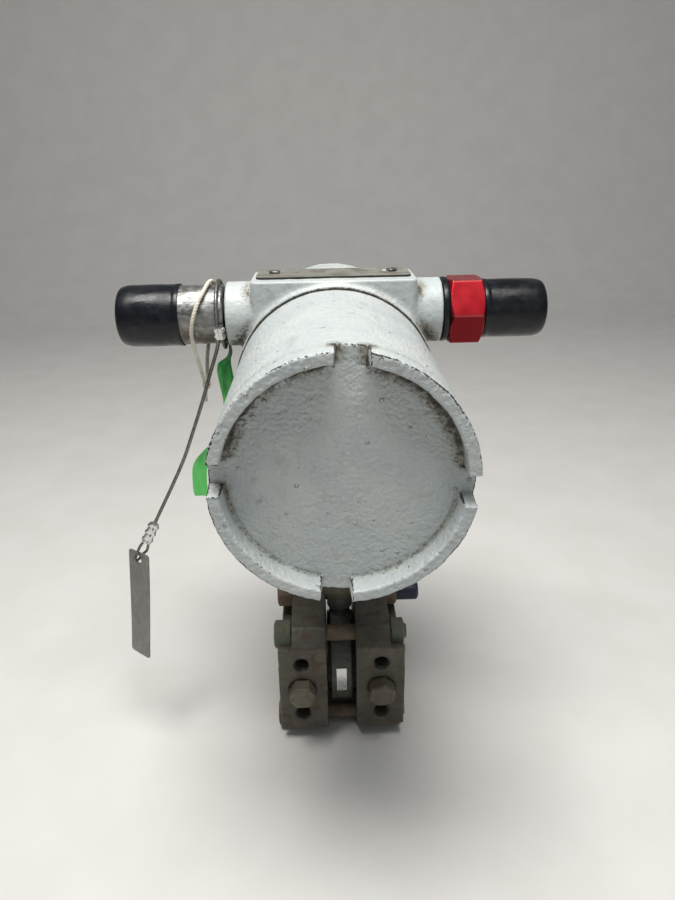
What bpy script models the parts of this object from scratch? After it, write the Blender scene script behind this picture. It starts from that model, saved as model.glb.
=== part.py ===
"""Field-mounted differential pressure transmitter, standing on its two process flanges.

A round two-compartment housing with screw covers sits on a neck above a disc-shaped
measuring cell, which four bolts clamp between two process flanges. Each conduit boss
carries a capped fitting, and a wire holds a metal tag. Metres, +Z up, the long blind
cover points to -Y, and the origin is under the middle of the object.
"""

import math

import bmesh
import bpy
from mathutils import Matrix, Vector

MM = 0.001
GAP = 0.3 * MM  # clearance kept between pieces that touch

# Housing and covers, turned about an axis along Y
AXIS_Z = 255.5 * MM
COVER_R = 57 * MM
CASTING_R = 58.5 * MM
CASTING_FRONT_Y = 15.5 * MM
CASTING_REAR_Y = 70 * MM
FRONT_END_Y = -115 * MM
REAR_END_Y = 115 * MM
SPIGOT_R = 51.5 * MM
SPIGOT_LENGTH = 22 * MM
CAVITY_R = 45 * MM
PARTITION_FRONT_Y = 20.5 * MM
PARTITION_REAR_Y = 26 * MM
SEAL_THICKNESS = 0.9 * MM

COVER_INNER_R = 50.5 * MM
COVER_THREAD_R = 51.9 * MM
RIM_HEIGHT = 11 * MM
RIM_WIDTH = 5.8 * MM
FACE_THICKNESS = 7 * MM
NOTCH_WIDTH = 13.4 * MM
FRONT_TURN = math.radians(4.2)
REAR_TURN = FRONT_TURN + math.radians(45)

# Block on top, its plate and the two adjusting screws under it
BLOCK_HALF_WIDTH = 46.8 * MM
BLOCK_FRONT_Y = 18 * MM
BLOCK_REAR_Y = 58.2 * MM
BLOCK_TOP_Z = AXIS_Z + 61 * MM
PLATE_WIDTH = 88 * MM
PLATE_DEPTH = 29 * MM
PLATE_FRONT_Y = 27 * MM
PLATE_THICKNESS = 1 * MM
PLATE_SCREW_X = 34 * MM
TOP_SCREW_Y = 41.5 * MM
ADJUSTER_X = 14 * MM

# Conduit entries, along X
CONDUIT_Y = 38 * MM
CONDUIT_Z = AXIS_Z + 40 * MM
BOSS_R = 18.5 * MM
BOSS_END_X = 62 * MM
CONDUIT_BORE_R = 10.2 * MM
COUPLING_R = 17 * MM
COUPLING_START_X = 63.5 * MM
COUPLING_END_X = 112 * MM
LEFT_CAP_START_X = 88.7 * MM
ADAPTER_ACROSS_FLATS = 36 * MM
ADAPTER_START_X = 66.2 * MM
ADAPTER_HEX_END_X = 86 * MM
BARREL_END_X = 110 * MM
LEFT_CAP_END_X = 128.2 * MM
RIGHT_CAP_END_X = 126.4 * MM

# Neck, cell and process flanges
NECK_Y = 42 * MM
NECK_R = 15 * MM
NECK_TOP_Z = 200 * MM
NECK_FOOT_Z = 97 * MM
HUB_R = 24 * MM
HUB_BOTTOM_Z = 168 * MM
PORT_Z = 44 * MM
PORT_SPACING = 54 * MM
STUD_SPACING = 41.3 * MM
STUD_HOLE_R = 5.3 * MM
CELL_R = 34 * MM
CELL_HALF_WIDTH = 7.5 * MM
CELL_FACE_X = 9.4 * MM
FLANGE_INNER_X = 10 * MM
FLANGE_SEAT_X = 33.5 * MM
FLANGE_OUTER_X = 43 * MM
FLANGE_HALF_DEPTH = 41 * MM
FLANGE_FACE_HALF_HEIGHT = 33.5 * MM
FLANGE_HALF_HEIGHT = 44 * MM
FLANGE_SHOULDER_Y = 29.5 * MM
BOLT_Y = 24 * MM
BOLT_RISE = 34.4 * MM
BOLT_R = 5.5 * MM
BOLT_HOLE_R = 5.9 * MM
BOLT_ACROSS_FLATS = 17.5 * MM
BOLT_HEAD_LENGTH = 11.7 * MM
PLUG_ACROSS_FLATS = 16 * MM
LOCK_PLACE = (0, NECK_Y, 180 * MM)

# Inside the housing
BOARD_R = 40 * MM
BOARD_THICKNESS = 1.6 * MM
POST_CIRCLE_R = 34 * MM
AMPLIFIER_Y = -18 * MM
POWER_Y = 8 * MM
# Components on a board: x, z, width, height and rise, in millimetres
COMPONENTS = ((-14, 10, 16, 12, 7), (12, 14, 14, 9, 5), (10, -14, 20, 8, 9))
FEED_PLACE = (-18 * MM, 0, AXIS_Z - 28 * MM)
EARTH_PLACE = (24 * MM, 0, AXIS_Z - 28 * MM)
TERMINAL_FRONT_Y = 44 * MM
TERMINAL_XS = (-21 * MM, -7 * MM, 7 * MM, 21 * MM)

# Tag, its wire, the string and the strip
WIRE_R = 1.1 * MM
STRING_R = 1.2 * MM
TAG_WIDTH = 19 * MM
TAG_LENGTH = 76 * MM
TAG_THICKNESS = 0.9 * MM
TAG_HOLE = Vector((-131.2, 22, 139.3)) * MM
TAG_TURN = math.radians(37)
STRIP_WIDTH = 9.5 * MM
STRIP_THICKNESS = 1 * MM

ROUND = 36  # sides of a large turned piece
MIDDLE = 24  # sides of a fitting
SMALL = 12  # sides of a small piece
TINY = 8  # sides of a screw

WHITE_PAINT = ("white_paint", (0.62, 0.65, 0.62), 0.45, 0.0)
CAST_STEEL = ("cast_steel", (0.16, 0.14, 0.11), 0.6, 0.6)
STAINLESS = ("stainless", (0.45, 0.45, 0.43), 0.35, 1.0)
ZINC = ("zinc", (0.42, 0.44, 0.46), 0.45, 0.8)
RED_ANODISED = ("red_anodised", (0.6, 0.03, 0.05), 0.3, 0.7)
BLACK_RUBBER = ("black_rubber", (0.02, 0.02, 0.025), 0.5, 0.0)
NAVY_PLASTIC = ("navy_plastic", (0.05, 0.08, 0.16), 0.5, 0.0)
GREEN_PLASTIC = ("green_plastic", (0.05, 0.45, 0.12), 0.4, 0.0)
BOARD_GREEN = ("circuit_board", (0.03, 0.2, 0.07), 0.5, 0.0)
MOULDING = ("dark_moulding", (0.04, 0.04, 0.045), 0.5, 0.0)
COTTON = ("cotton", (0.8, 0.76, 0.64), 0.9, 0.0)
BRASS = ("brass", (0.6, 0.45, 0.2), 0.35, 1.0)


def clear_scene():
    for obj in list(bpy.data.objects):
        bpy.data.objects.remove(obj, do_unlink=True)


def material(finish):
    name, colour, roughness, metallic = finish
    found = bpy.data.materials.get(name)
    if found:
        return found
    made = bpy.data.materials.new(name)
    made.use_nodes = True
    shader = made.node_tree.nodes["Principled BSDF"]
    shader.inputs["Base Color"].default_value = (*colour, 1)
    shader.inputs["Roughness"].default_value = roughness
    shader.inputs["Metallic"].default_value = metallic
    return made


def object_from(name, bm, finish=None):
    """An object from the bmesh, its faces turned outwards; without a finish it is a helper."""
    bmesh.ops.recalc_face_normals(bm, faces=bm.faces)
    mesh = bpy.data.meshes.new(name)
    bm.to_mesh(mesh)
    bm.free()
    obj = bpy.data.objects.new(name, mesh)
    bpy.context.scene.collection.objects.link(obj)
    if finish:
        mesh.materials.append(material(finish))
        mesh.shade_smooth()
        mesh.set_sharp_from_angle(angle=math.radians(30))
    else:
        obj.hide_render = True
        obj.display_type = "WIRE"
    return obj


def place(axis, centre, radius, angle, along):
    """The point at this radius and angle about the axis through the centre, this far along it."""
    u, v = radius * math.cos(angle), radius * math.sin(angle)
    offset = {"X": (along, u, v), "Y": (u, along, v), "Z": (u, v, along)}[axis]
    return Vector(centre) + Vector(offset)


def turned(name, axis, centre, profile, finish=None, sides=ROUND, start=0.0):
    """A solid turned about the axis from (radius, along) points; radius 0 is a point on the axis.

    A profile that never meets the axis is closed into a ring.
    """
    bm = bmesh.new()
    rings = []
    for radius, along in profile:
        count = 1 if radius == 0 else sides
        rings.append(
            [
                bm.verts.new(place(axis, centre, radius, start + math.tau * i / sides, along))
                for i in range(count)
            ]
        )
    pairs = list(zip(rings, rings[1:]))
    if profile[0][0] > 0:
        pairs.append((rings[-1], rings[0]))
    for first, second in pairs:
        for i in range(sides):
            j = (i + 1) % sides
            corners = [first[i % len(first)], first[j % len(first)]]
            corners += [second[j % len(second)], second[i % len(second)]]
            corners = list(dict.fromkeys(corners))
            if len(corners) > 2:
                bm.faces.new(corners)
    return object_from(name, bm, finish)


def rod(name, axis, centre, radius, start, end, finish=None, sides=SMALL, turn=0.07):
    """A plain cylinder, turned a little so that no corner of a cutter lies on a flat face."""
    profile = [(0, start), (radius, start), (radius, end), (0, end)]
    return turned(name, axis, centre, profile, finish, sides, turn)


def hexagon(name, axis, centre, across_flats, start, end, finish=None, turn=0.0, chamfer=0.8 * MM):
    """A hexagonal prism whose far end, at the second position, has a small chamfer."""
    radius = across_flats / math.sqrt(3)
    step = math.copysign(chamfer, end - start)
    profile = [(0, start), (radius, start), (radius, end - step), (radius - chamfer, end), (0, end)]
    return turned(name, axis, centre, profile, finish, 6, turn)


def prism(name, axis, outline, start, end, finish=None):
    """A straight prism on a flat outline, whose two coordinates are the axes other than this one."""
    bm = bmesh.new()
    ends = []
    for along in (start, end):
        order = {"X": lambda a, b: (along, a, b), "Y": lambda a, b: (a, along, b)}
        point = order.get(axis, lambda a, b: (a, b, along))
        ends.append([bm.verts.new(point(a, b)) for a, b in outline])
    bm.faces.new(ends[0])
    bm.faces.new(ends[1])
    for i in range(len(outline)):
        j = (i + 1) % len(outline)
        bm.faces.new([ends[0][i], ends[0][j], ends[1][j], ends[1][i]])
    return object_from(name, bm, finish)


def box(name, low, high, finish=None):
    outline = [(low[0], low[1]), (high[0], low[1]), (high[0], high[1]), (low[0], high[1])]
    return prism(name, "Z", outline, low[2], high[2], finish)


def rounded_outline(centre, width, height, radius, steps=4):
    points = []
    for corner, (sx, sy) in enumerate(((1, 1), (-1, 1), (-1, -1), (1, -1))):
        cx = centre[0] + sx * (width / 2 - radius)
        cy = centre[1] + sy * (height / 2 - radius)
        for i in range(steps + 1):
            angle = math.pi / 2 * (corner + i / steps)
            points.append((cx + radius * math.cos(angle), cy + radius * math.sin(angle)))
    return points


def combine(obj, operation, others):
    for other in others:
        step = obj.modifiers.new(operation.lower(), "BOOLEAN")
        step.operation = operation
        step.object = other
        step.solver = "EXACT"
        step.use_hole_tolerant = True


def join(obj, *others):
    combine(obj, "UNION", others)


def cut(obj, *others):
    combine(obj, "DIFFERENCE", others)


def set_origin(obj, point):
    """Moves the object's origin to this point and leaves its shape where it is."""
    obj.data.transform(Matrix.Translation(-Vector(point)))
    obj.location = point


def housing():
    """The casting: two compartments, the top block, two conduit bosses and the neck hub."""
    centre = (0, 0, AXIS_Z)
    front = CASTING_FRONT_Y - SPIGOT_LENGTH
    rear = CASTING_REAR_Y + SPIGOT_LENGTH
    profile = [(0, front), (SPIGOT_R, front), (SPIGOT_R, CASTING_FRONT_Y)]
    profile += [(CASTING_R - 1 * MM, CASTING_FRONT_Y), (CASTING_R, CASTING_FRONT_Y + 1 * MM)]
    profile += [(CASTING_R, CASTING_REAR_Y - 1 * MM), (CASTING_R - 1 * MM, CASTING_REAR_Y)]
    profile += [(SPIGOT_R, CASTING_REAR_Y), (SPIGOT_R, rear), (0, rear)]
    body = turned("housing", "Y", centre, profile, WHITE_PAINT)
    middle = (BLOCK_FRONT_Y + BLOCK_REAR_Y) / 2
    depth = BLOCK_REAR_Y - BLOCK_FRONT_Y
    outline = rounded_outline((0, middle), 2 * BLOCK_HALF_WIDTH, depth, 4 * MM)
    join(body, prism("block_form", "Z", outline, AXIS_Z + 20 * MM, BLOCK_TOP_Z))
    hub_centre = (0, NECK_Y, 0)
    join(body, rod("hub_form", "Z", hub_centre, HUB_R, HUB_BOTTOM_Z, AXIS_Z - 50 * MM, sides=MIDDLE))
    conduit = (0, CONDUIT_Y, CONDUIT_Z)
    for side in (-1, 1):
        form = rod("boss_form", "X", conduit, BOSS_R, side * 38 * MM, side * BOSS_END_X, sides=MIDDLE)
        join(body, form)
    for start, end in ((front - 1 * MM, PARTITION_FRONT_Y), (PARTITION_REAR_Y, rear + 1 * MM)):
        cut(body, rod("cavity", "Y", centre, CAVITY_R, start, end, sides=ROUND))
    for side in (-1, 1):
        start, end = side * 20 * MM, side * (BOSS_END_X + 5 * MM)
        cut(body, rod("conduit_bore", "X", conduit, CONDUIT_BORE_R, start, end, sides=MIDDLE))
    neck_bore_r = NECK_R + 0.4 * MM
    cut(body, rod("neck_bore", "Z", hub_centre, neck_bore_r, HUB_BOTTOM_Z - 5 * MM, 216 * MM, sides=MIDDLE))
    for x in (-PLATE_SCREW_X, PLATE_SCREW_X):
        cut(body, rod("plate_hole", "Z", (x, TOP_SCREW_Y, 0), 2.4 * MM, 304 * MM, 330 * MM, sides=TINY))
    for x in (-ADJUSTER_X, ADJUSTER_X):
        cut(body, rod("adjuster_hole", "Z", (x, TOP_SCREW_Y, 0), 3.5 * MM, 303 * MM, 330 * MM))
    cut(body, rod("feed_hole", "Y", FEED_PLACE, 6.4 * MM, 10 * MM, 35 * MM))
    cut(body, rod("earth_hole", "Y", EARTH_PLACE, 2.2 * MM, 22 * MM, 35 * MM, sides=TINY))
    cut(body, rod("lock_hole", "Y", LOCK_PLACE, 2.9 * MM, 10 * MM, HUB_R + 5 * MM, sides=TINY))
    return body


def cover(name, end_y, open_y, turn):
    """A screw cover: a cup with a recessed face inside a raised rim that has four notches."""
    way = 1 if open_y > end_y else -1
    length = abs(open_y - end_y)
    thread = length - SPIGOT_LENGTH - 2 * MM
    face_inside = RIM_HEIGHT + FACE_THICKNESS
    inner_rim = COVER_R - RIM_WIDTH
    profile = [(0, RIM_HEIGHT), (inner_rim - 1.5 * MM, RIM_HEIGHT)]
    profile += [(inner_rim, RIM_HEIGHT - 2 * MM), (inner_rim, 0.6 * MM), (inner_rim + 0.6 * MM, 0)]
    profile += [(COVER_R - 1 * MM, 0), (COVER_R, 1 * MM), (COVER_R, length)]
    profile += [(COVER_THREAD_R, length), (COVER_THREAD_R, thread), (COVER_INNER_R, thread)]
    profile += [(COVER_INNER_R, face_inside), (0, face_inside)]
    centre = (0, 0, AXIS_Z)
    placed = [(radius, end_y + way * along) for radius, along in profile]
    body = turned(name, "Y", centre, placed, WHITE_PAINT)
    floor = end_y + way * (RIM_HEIGHT - 0.3 * MM)
    for quarter in range(4):
        angle = quarter * math.pi / 2 + turn
        low, high = sorted((floor, end_y - way * 3 * MM))
        notch = box(
            "notch",
            (COVER_R - RIM_WIDTH - 4 * MM, low, -NOTCH_WIDTH / 2),
            (COVER_R + 4 * MM, high, NOTCH_WIDTH / 2),
        )
        notch.data.transform(Matrix.Rotation(angle, 4, "Y"))
        notch.location = centre
        cut(body, notch)
    set_origin(body, centre)
    return body


def covers_and_seals():
    stand_off = SEAL_THICKNESS + 2 * GAP
    cover("front_cover", FRONT_END_Y, CASTING_FRONT_Y - stand_off, FRONT_TURN)
    cover("rear_cover", REAR_END_Y, CASTING_REAR_Y + stand_off, REAR_TURN)
    centre = (0, 0, AXIS_Z)
    inner, outer = SPIGOT_R + 0.4 * MM, COVER_R - 0.3 * MM
    for name, shoulder, way in (
        ("front_seal", CASTING_FRONT_Y, -1),
        ("rear_seal", CASTING_REAR_Y, 1),
    ):
        near = shoulder + way * GAP
        far = near + way * SEAL_THICKNESS
        profile = [(inner, near), (outer, near), (outer, far), (inner, far)]
        set_origin(turned(name, "Y", centre, profile, BLACK_RUBBER), centre)


def slotted(obj, axis_point, top, radius, depth=1 * MM):
    """Cuts a screwdriver slot across the top of an upright screw."""
    x, y = axis_point
    half = 0.5 * MM
    low = (x - radius - 1 * MM, y - half, top - depth)
    high = (x + radius + 1 * MM, y + half, top + 1 * MM)
    cut(obj, box("driver_slot", low, high))


def nameplate():
    """The plate turns on its left screw; the slot lets it leave the right one."""
    bottom = BLOCK_TOP_Z + GAP
    top = bottom + PLATE_THICKNESS
    rear = PLATE_FRONT_Y + PLATE_DEPTH
    middle = rear - PLATE_DEPTH / 2
    outline = rounded_outline((0, middle), PLATE_WIDTH, PLATE_DEPTH, 3 * MM, steps=3)
    plate = prism("nameplate", "Z", outline, bottom, top, STAINLESS)
    hole_r = 2.5 * MM
    for x in (-PLATE_SCREW_X, PLATE_SCREW_X):
        cut(plate, rod("hole", "Z", (x, TOP_SCREW_Y, 0), hole_r, bottom - MM, top + MM, sides=TINY))
    low = (PLATE_SCREW_X - 5 * MM, TOP_SCREW_Y, bottom - MM)
    high = (PLATE_SCREW_X + 2.4 * MM, rear + 5 * MM, top + MM)
    cut(plate, box("slot", low, high))
    set_origin(plate, (-PLATE_SCREW_X, TOP_SCREW_Y, bottom))
    for name, x in (("plate_pivot_screw", -PLATE_SCREW_X), ("plate_clamp_screw", PLATE_SCREW_X)):
        seat = top + GAP
        profile = [(0, 306 * MM), (2 * MM, 306 * MM), (2 * MM, seat), (3.3 * MM, seat)]
        profile += [(3.3 * MM, seat + 0.9 * MM), (2.9 * MM, seat + 1.2 * MM), (0, seat + 1.2 * MM)]
        screw = turned(name, "Z", (x, TOP_SCREW_Y, 0), profile, ZINC, SMALL)
        slotted(screw, (x, TOP_SCREW_Y), seat + 1.2 * MM, 3.3 * MM, 0.6 * MM)
    for name, x in (("zero_screw", -ADJUSTER_X), ("span_screw", ADJUSTER_X)):
        top_z = BLOCK_TOP_Z - 1.5 * MM
        screw = rod(name, "Z", (0, 0, 0), 3.1 * MM, 0, top_z - 304 * MM, BRASS)
        slotted(screw, (0, 0), top_z - 304 * MM, 3.1 * MM)
        screw.location = (x, TOP_SCREW_Y, 304 * MM)


def conduit_fittings():
    """Left: a zinc coupling with a rubber cap. Right: washer, red hexagon adapter and cap."""
    centre = (0, CONDUIT_Y, CONDUIT_Z)
    stub_r, pass_r = CONDUIT_BORE_R - 0.4 * MM, 7 * MM
    inner = -48 * MM
    start, end = -COUPLING_START_X, -COUPLING_END_X
    profile = [(pass_r, inner), (stub_r, inner), (stub_r, start), (COUPLING_R - 1 * MM, start)]
    profile += [(COUPLING_R, start - 1 * MM), (COUPLING_R, end), (pass_r, end)]
    turned("left_coupling", "X", centre, profile, ZINC, MIDDLE)
    cap_r, cap_bore = 18.2 * MM, COUPLING_R + 0.4 * MM
    rubber_cap("left_cap", centre, -1, cap_r, cap_bore, LEFT_CAP_START_X, LEFT_CAP_END_X)

    profile = [(stub_r + 0.5 * MM, 62.3 * MM), (18.8 * MM, 62.3 * MM)]
    profile += [(18.8 * MM, 65.9 * MM), (stub_r + 0.5 * MM, 65.9 * MM)]
    turned("right_washer", "X", centre, profile, BLACK_RUBBER, MIDDLE)
    barrel_r = 15.3 * MM
    adapter = hexagon(
        "red_adapter", "X", centre, ADAPTER_ACROSS_FLATS, ADAPTER_START_X, ADAPTER_HEX_END_X, RED_ANODISED
    )
    join(adapter, rod("stub_form", "X", centre, stub_r, 48 * MM, 70 * MM, sides=MIDDLE))
    join(adapter, rod("barrel_form", "X", centre, barrel_r, 80 * MM, BARREL_END_X, sides=MIDDLE))
    cut(adapter, rod("adapter_bore", "X", centre, pass_r, 40 * MM, 120 * MM, sides=MIDDLE))
    cap_r, cap_bore = 17.3 * MM, barrel_r + 0.4 * MM
    rubber_cap("right_cap", centre, 1, cap_r, cap_bore, ADAPTER_HEX_END_X + GAP, RIGHT_CAP_END_X)


def rubber_cap(name, centre, side, outer, bore, start, end):
    """A pull-off cap with a rounded end and a small moulding pip at its tip."""
    floor, face = end - 6 * MM, end - 2.5 * MM
    profile = [(0, floor), (bore, floor), (bore, start), (outer, start), (outer, end - 8 * MM)]
    profile += [(outer - 2 * MM, end - 4 * MM), (12 * MM, end - 2.8 * MM), (1.7 * MM, face)]
    profile += [(1.4 * MM, end), (0, end)]
    profile = [(radius, side * along) for radius, along in profile]
    cap = turned(name, "X", centre, profile, BLACK_RUBBER, MIDDLE)
    set_origin(cap, centre)


def components(board, face):
    """Joins plain components to the front of a board whose front face is here."""
    for x, z, width, height, rise in COMPONENTS:
        low = ((x - width / 2) * MM, face - rise * MM, AXIS_Z + (z - height / 2) * MM)
        high = ((x + width / 2) * MM, face + 0.5 * MM, AXIS_Z + (z + height / 2) * MM)
        join(board, box("component", low, high))


def electronics():
    """Two round circuit boards held by three posts, whose barbed tips snap through the front one."""
    places = []
    for i in range(3):
        angle = math.pi / 2 + i * math.tau / 3
        x, rise = POST_CIRCLE_R * math.cos(angle), POST_CIRCLE_R * math.sin(angle)
        places.append((x, 0, AXIS_Z + rise))
    foot = PARTITION_FRONT_Y - GAP
    barb = AMPLIFIER_Y - BOARD_THICKNESS - 2 * GAP
    tip = barb - 3 * MM
    for i, spot in enumerate(places):
        profile = [(0, foot), (3 * MM, foot), (3 * MM, AMPLIFIER_Y), (1.5 * MM, AMPLIFIER_Y)]
        profile += [(1.5 * MM, barb), (2.6 * MM, barb), (1 * MM, tip), (0, tip)]
        turned(f"board_post_{i + 1}", "Y", spot, profile, MOULDING, TINY)
    centre = (0, 0, AXIS_Z)
    for name, back, hole_r in (
        ("power_board", POWER_Y, 3.5 * MM),
        ("amplifier_board", AMPLIFIER_Y - GAP, 1.9 * MM),
    ):
        face = back - BOARD_THICKNESS
        board = rod(name, "Y", centre, BOARD_R, face, back, BOARD_GREEN, sides=MIDDLE)
        components(board, face)
        for spot in places:
            cut(board, rod("post_hole", "Y", spot, hole_r, face - 12 * MM, back + 12 * MM, sides=TINY))


def terminals():
    """Terminal block, its screws, the earth screw and the feedthrough to the front compartment."""
    back, front = PARTITION_REAR_Y + GAP, TERMINAL_FRONT_Y
    low = (-30 * MM, back, AXIS_Z - 14 * MM)
    block = box("terminal_block", low, (30 * MM, front, AXIS_Z + 12 * MM), MOULDING)
    for x in (-28 * MM, -14 * MM, 0, 14 * MM, 28 * MM):
        low = (x - 1 * MM, front - 2 * MM, AXIS_Z - 13 * MM)
        high = (x + 1 * MM, front + 5 * MM, AXIS_Z + 11 * MM)
        join(block, box("barrier", low, high))
    seat = front + GAP
    for i, x in enumerate(TERMINAL_XS):
        spot = (x, 0, AXIS_Z - 1 * MM)
        cut(block, rod("terminal_hole", "Y", spot, 2.2 * MM, 33 * MM, 60 * MM, sides=TINY))
        profile = [(0, 34 * MM), (1.8 * MM, 34 * MM), (1.8 * MM, seat), (4.2 * MM, seat)]
        profile += [(4.2 * MM, seat + 2 * MM), (3.4 * MM, seat + 2.8 * MM), (0, seat + 2.8 * MM)]
        turned(f"terminal_screw_{i + 1}", "Y", spot, profile, ZINC, TINY)
    profile = [(0, 22.4 * MM), (1.8 * MM, 22.4 * MM), (1.8 * MM, back), (4.5 * MM, back)]
    profile += [(4.5 * MM, back + 2.4 * MM), (3.6 * MM, back + 3.2 * MM), (0, back + 3.2 * MM)]
    turned("earth_screw", "Y", EARTH_PLACE, profile, ZINC, TINY)
    face = PARTITION_FRONT_Y - GAP
    profile = [(0, 17.5 * MM), (8 * MM, 17.5 * MM), (8 * MM, face), (6 * MM, face)]
    profile += [(6 * MM, 27.5 * MM), (0, 27.5 * MM)]
    turned("feedthrough", "Y", FEED_PLACE, profile, MOULDING, SMALL)


def neck():
    """The neck tube, its seal and lock nut, and the screw that locks the housing to it."""
    centre = (0, NECK_Y, 0)
    groove_low, groove_high = 185.5 * MM, 188.5 * MM
    floor_r = 13.4 * MM
    foot_bore, bore = 9.4 * MM, 11 * MM
    profile = [(foot_bore, NECK_FOOT_Z), (12 * MM, NECK_FOOT_Z), (NECK_R, NECK_FOOT_Z + 7 * MM)]
    profile += [(NECK_R, groove_low), (floor_r, groove_low), (floor_r, groove_high)]
    profile += [(NECK_R, groove_high), (NECK_R, NECK_TOP_Z), (bore, NECK_TOP_Z)]
    profile += [(bore, NECK_FOOT_Z + 9 * MM), (foot_bore, NECK_FOOT_Z + 9 * MM)]
    turned("neck_tube", "Z", centre, profile, CAST_STEEL, MIDDLE)
    seal = [(13.7 * MM, 185.9 * MM), (15.1 * MM, 185.9 * MM)]
    seal += [(15.1 * MM, 188.1 * MM), (13.7 * MM, 188.1 * MM)]
    turned("neck_seal", "Z", centre, seal, BLACK_RUBBER, MIDDLE)
    top = HUB_BOTTOM_Z - GAP
    nut = hexagon("neck_locknut", "Z", centre, 46 * MM, top, 157 * MM, CAST_STEEL, chamfer=2 * MM)
    cut(nut, rod("nut_bore", "Z", centre, NECK_R + 0.4 * MM, 150 * MM, 175 * MM, sides=MIDDLE))
    start, end = NECK_R + 0.8 * MM, HUB_R - 0.5 * MM
    lock = rod("neck_lock_screw", "Y", LOCK_PLACE, 2.5 * MM, start, end, ZINC, sides=TINY)
    cut(lock, rod("socket", "Y", LOCK_PLACE, 1.4 * MM, HUB_R - 4 * MM, HUB_R + 5 * MM, sides=6))


def cell():
    """The measuring cell: a disc on edge with a root for the neck, and its two diaphragms."""
    centre = (0, NECK_Y, PORT_Z)
    recess_r, land_r, recess_x = 22.5 * MM, 29 * MM, 8.4 * MM
    half = [(0, recess_x), (recess_r, recess_x), (recess_r, CELL_FACE_X), (land_r, CELL_FACE_X)]
    half += [(land_r, CELL_HALF_WIDTH), (CELL_R - 1 * MM, CELL_HALF_WIDTH)]
    half += [(CELL_R, CELL_HALF_WIDTH - 1 * MM)]
    profile = half + [(radius, -along) for radius, along in reversed(half)]
    body = turned("cell_body", "X", centre, profile, CAST_STEEL)
    top = PORT_Z + CELL_R
    root = [(0, top - 6 * MM), (6 * MM, top - 6 * MM), (6 * MM, top + 5 * MM), (9 * MM, top + 14 * MM)]
    root += [(9 * MM, NECK_FOOT_Z + 6 * MM), (0, NECK_FOOT_Z + 6 * MM)]
    join(body, turned("root_form", "Z", (0, NECK_Y, 0), root, sides=MIDDLE))
    for name, side in (("left_diaphragm", -1), ("right_diaphragm", 1)):
        rod(name, "X", centre, 22.1 * MM, side * 8.7 * MM, side * 9.1 * MM, STAINLESS, sides=MIDDLE)
    arc = []
    for radius, angles in ((CELL_R + GAP, range(-12, 19, 6)), (CELL_R + GAP + 0.7 * MM, range(18, -13, -6))):
        for degrees in angles:
            angle = math.radians(degrees)
            arc.append((NECK_Y - radius * math.cos(angle), PORT_Z + radius * math.sin(angle)))
    prism("cell_label", "X", arc, -3.5 * MM, 3.5 * MM, STAINLESS)


def flange(name, side):
    """A process flange: a plate with a port ridge and stud flares on its outer side."""
    deep, tall = FLANGE_HALF_DEPTH, FLANGE_HALF_HEIGHT
    corners = [(deep, FLANGE_FACE_HALF_HEIGHT), (FLANGE_SHOULDER_Y, tall)]
    corners += [(-y, z) for y, z in reversed(corners)]
    corners += [(-y, -z) for y, z in corners]
    plate = [(NECK_Y + y, PORT_Z + z) for y, z in corners]
    inner, seat, outer = (side * x for x in (FLANGE_INNER_X, FLANGE_SEAT_X, FLANGE_OUTER_X))
    body = prism(name, "X", plate, inner, seat, CAST_STEEL)
    tip, flare = deep - 0.2 * MM, deep - 6.4 * MM
    ridge, face = 18 * MM, FLANGE_FACE_HALF_HEIGHT - 0.2 * MM
    quarter = [(flare, ridge), (flare, face), (tip, face)]
    bosses = quarter + [(y, -z) for y, z in reversed(quarter)]
    bosses += [(-y, z) for y, z in reversed(bosses)]
    bosses = [(NECK_Y + y, PORT_Z + z) for y, z in bosses]
    form = prism("flange_bosses", "X", bosses, seat - side * 2 * MM, outer)
    join(body, form)
    chamber = (0, NECK_Y, PORT_Z)
    cut(body, rod("chamber", "X", chamber, 21.5 * MM, side * 5 * MM, side * 12.5 * MM, sides=MIDDLE))
    groove = [(24.1 * MM, side * 5 * MM), (27.9 * MM, side * 5 * MM)]
    groove += [(27.9 * MM, side * 11.7 * MM), (24.1 * MM, side * 11.7 * MM)]
    cut(body, turned("gasket_groove", "X", chamber, groove, sides=MIDDLE))
    port_x = side * PORT_SPACING / 2
    for way in (-1, 1):
        centre = (port_x, NECK_Y, PORT_Z)
        mouth = way * (deep + 2 * MM)
        cut(body, rod("port", "Y", centre, 6.6 * MM, mouth, way * 22 * MM, sides=MIDDLE))
        cut(body, rod("port_mouth", "Y", centre, 9.6 * MM, mouth, way * (deep - 1.4 * MM), sides=MIDDLE))
        cut(body, rod("port_end", "Y", centre, 3 * MM, way * 24 * MM, way * 12 * MM, sides=TINY))
        across = (0, NECK_Y + way * 15 * MM, PORT_Z)
        cut(body, rod("cross_drilling", "X", across, 2.6 * MM, side * 9 * MM, port_x, sides=TINY))
        for rise in (-STUD_SPACING / 2, STUD_SPACING / 2):
            spot = (port_x, NECK_Y, PORT_Z + rise)
            cut(body, rod("stud_hole", "Y", spot, STUD_HOLE_R, mouth, way * 22 * MM, sides=SMALL))
        for rise in (-BOLT_RISE, BOLT_RISE):
            spot = (0, NECK_Y + way * BOLT_Y, PORT_Z + rise)
            cut(body, rod("bolt_hole", "X", spot, BOLT_HOLE_R, side * 5 * MM, side * 40 * MM, sides=SMALL))
    gasket = [(24.5 * MM, side * 9.7 * MM), (27.5 * MM, side * 9.7 * MM)]
    gasket += [(27.5 * MM, side * 11.3 * MM), (24.5 * MM, side * 11.3 * MM)]
    turned(name.replace("flange", "gasket"), "X", chamber, gasket, MOULDING, MIDDLE)


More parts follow.
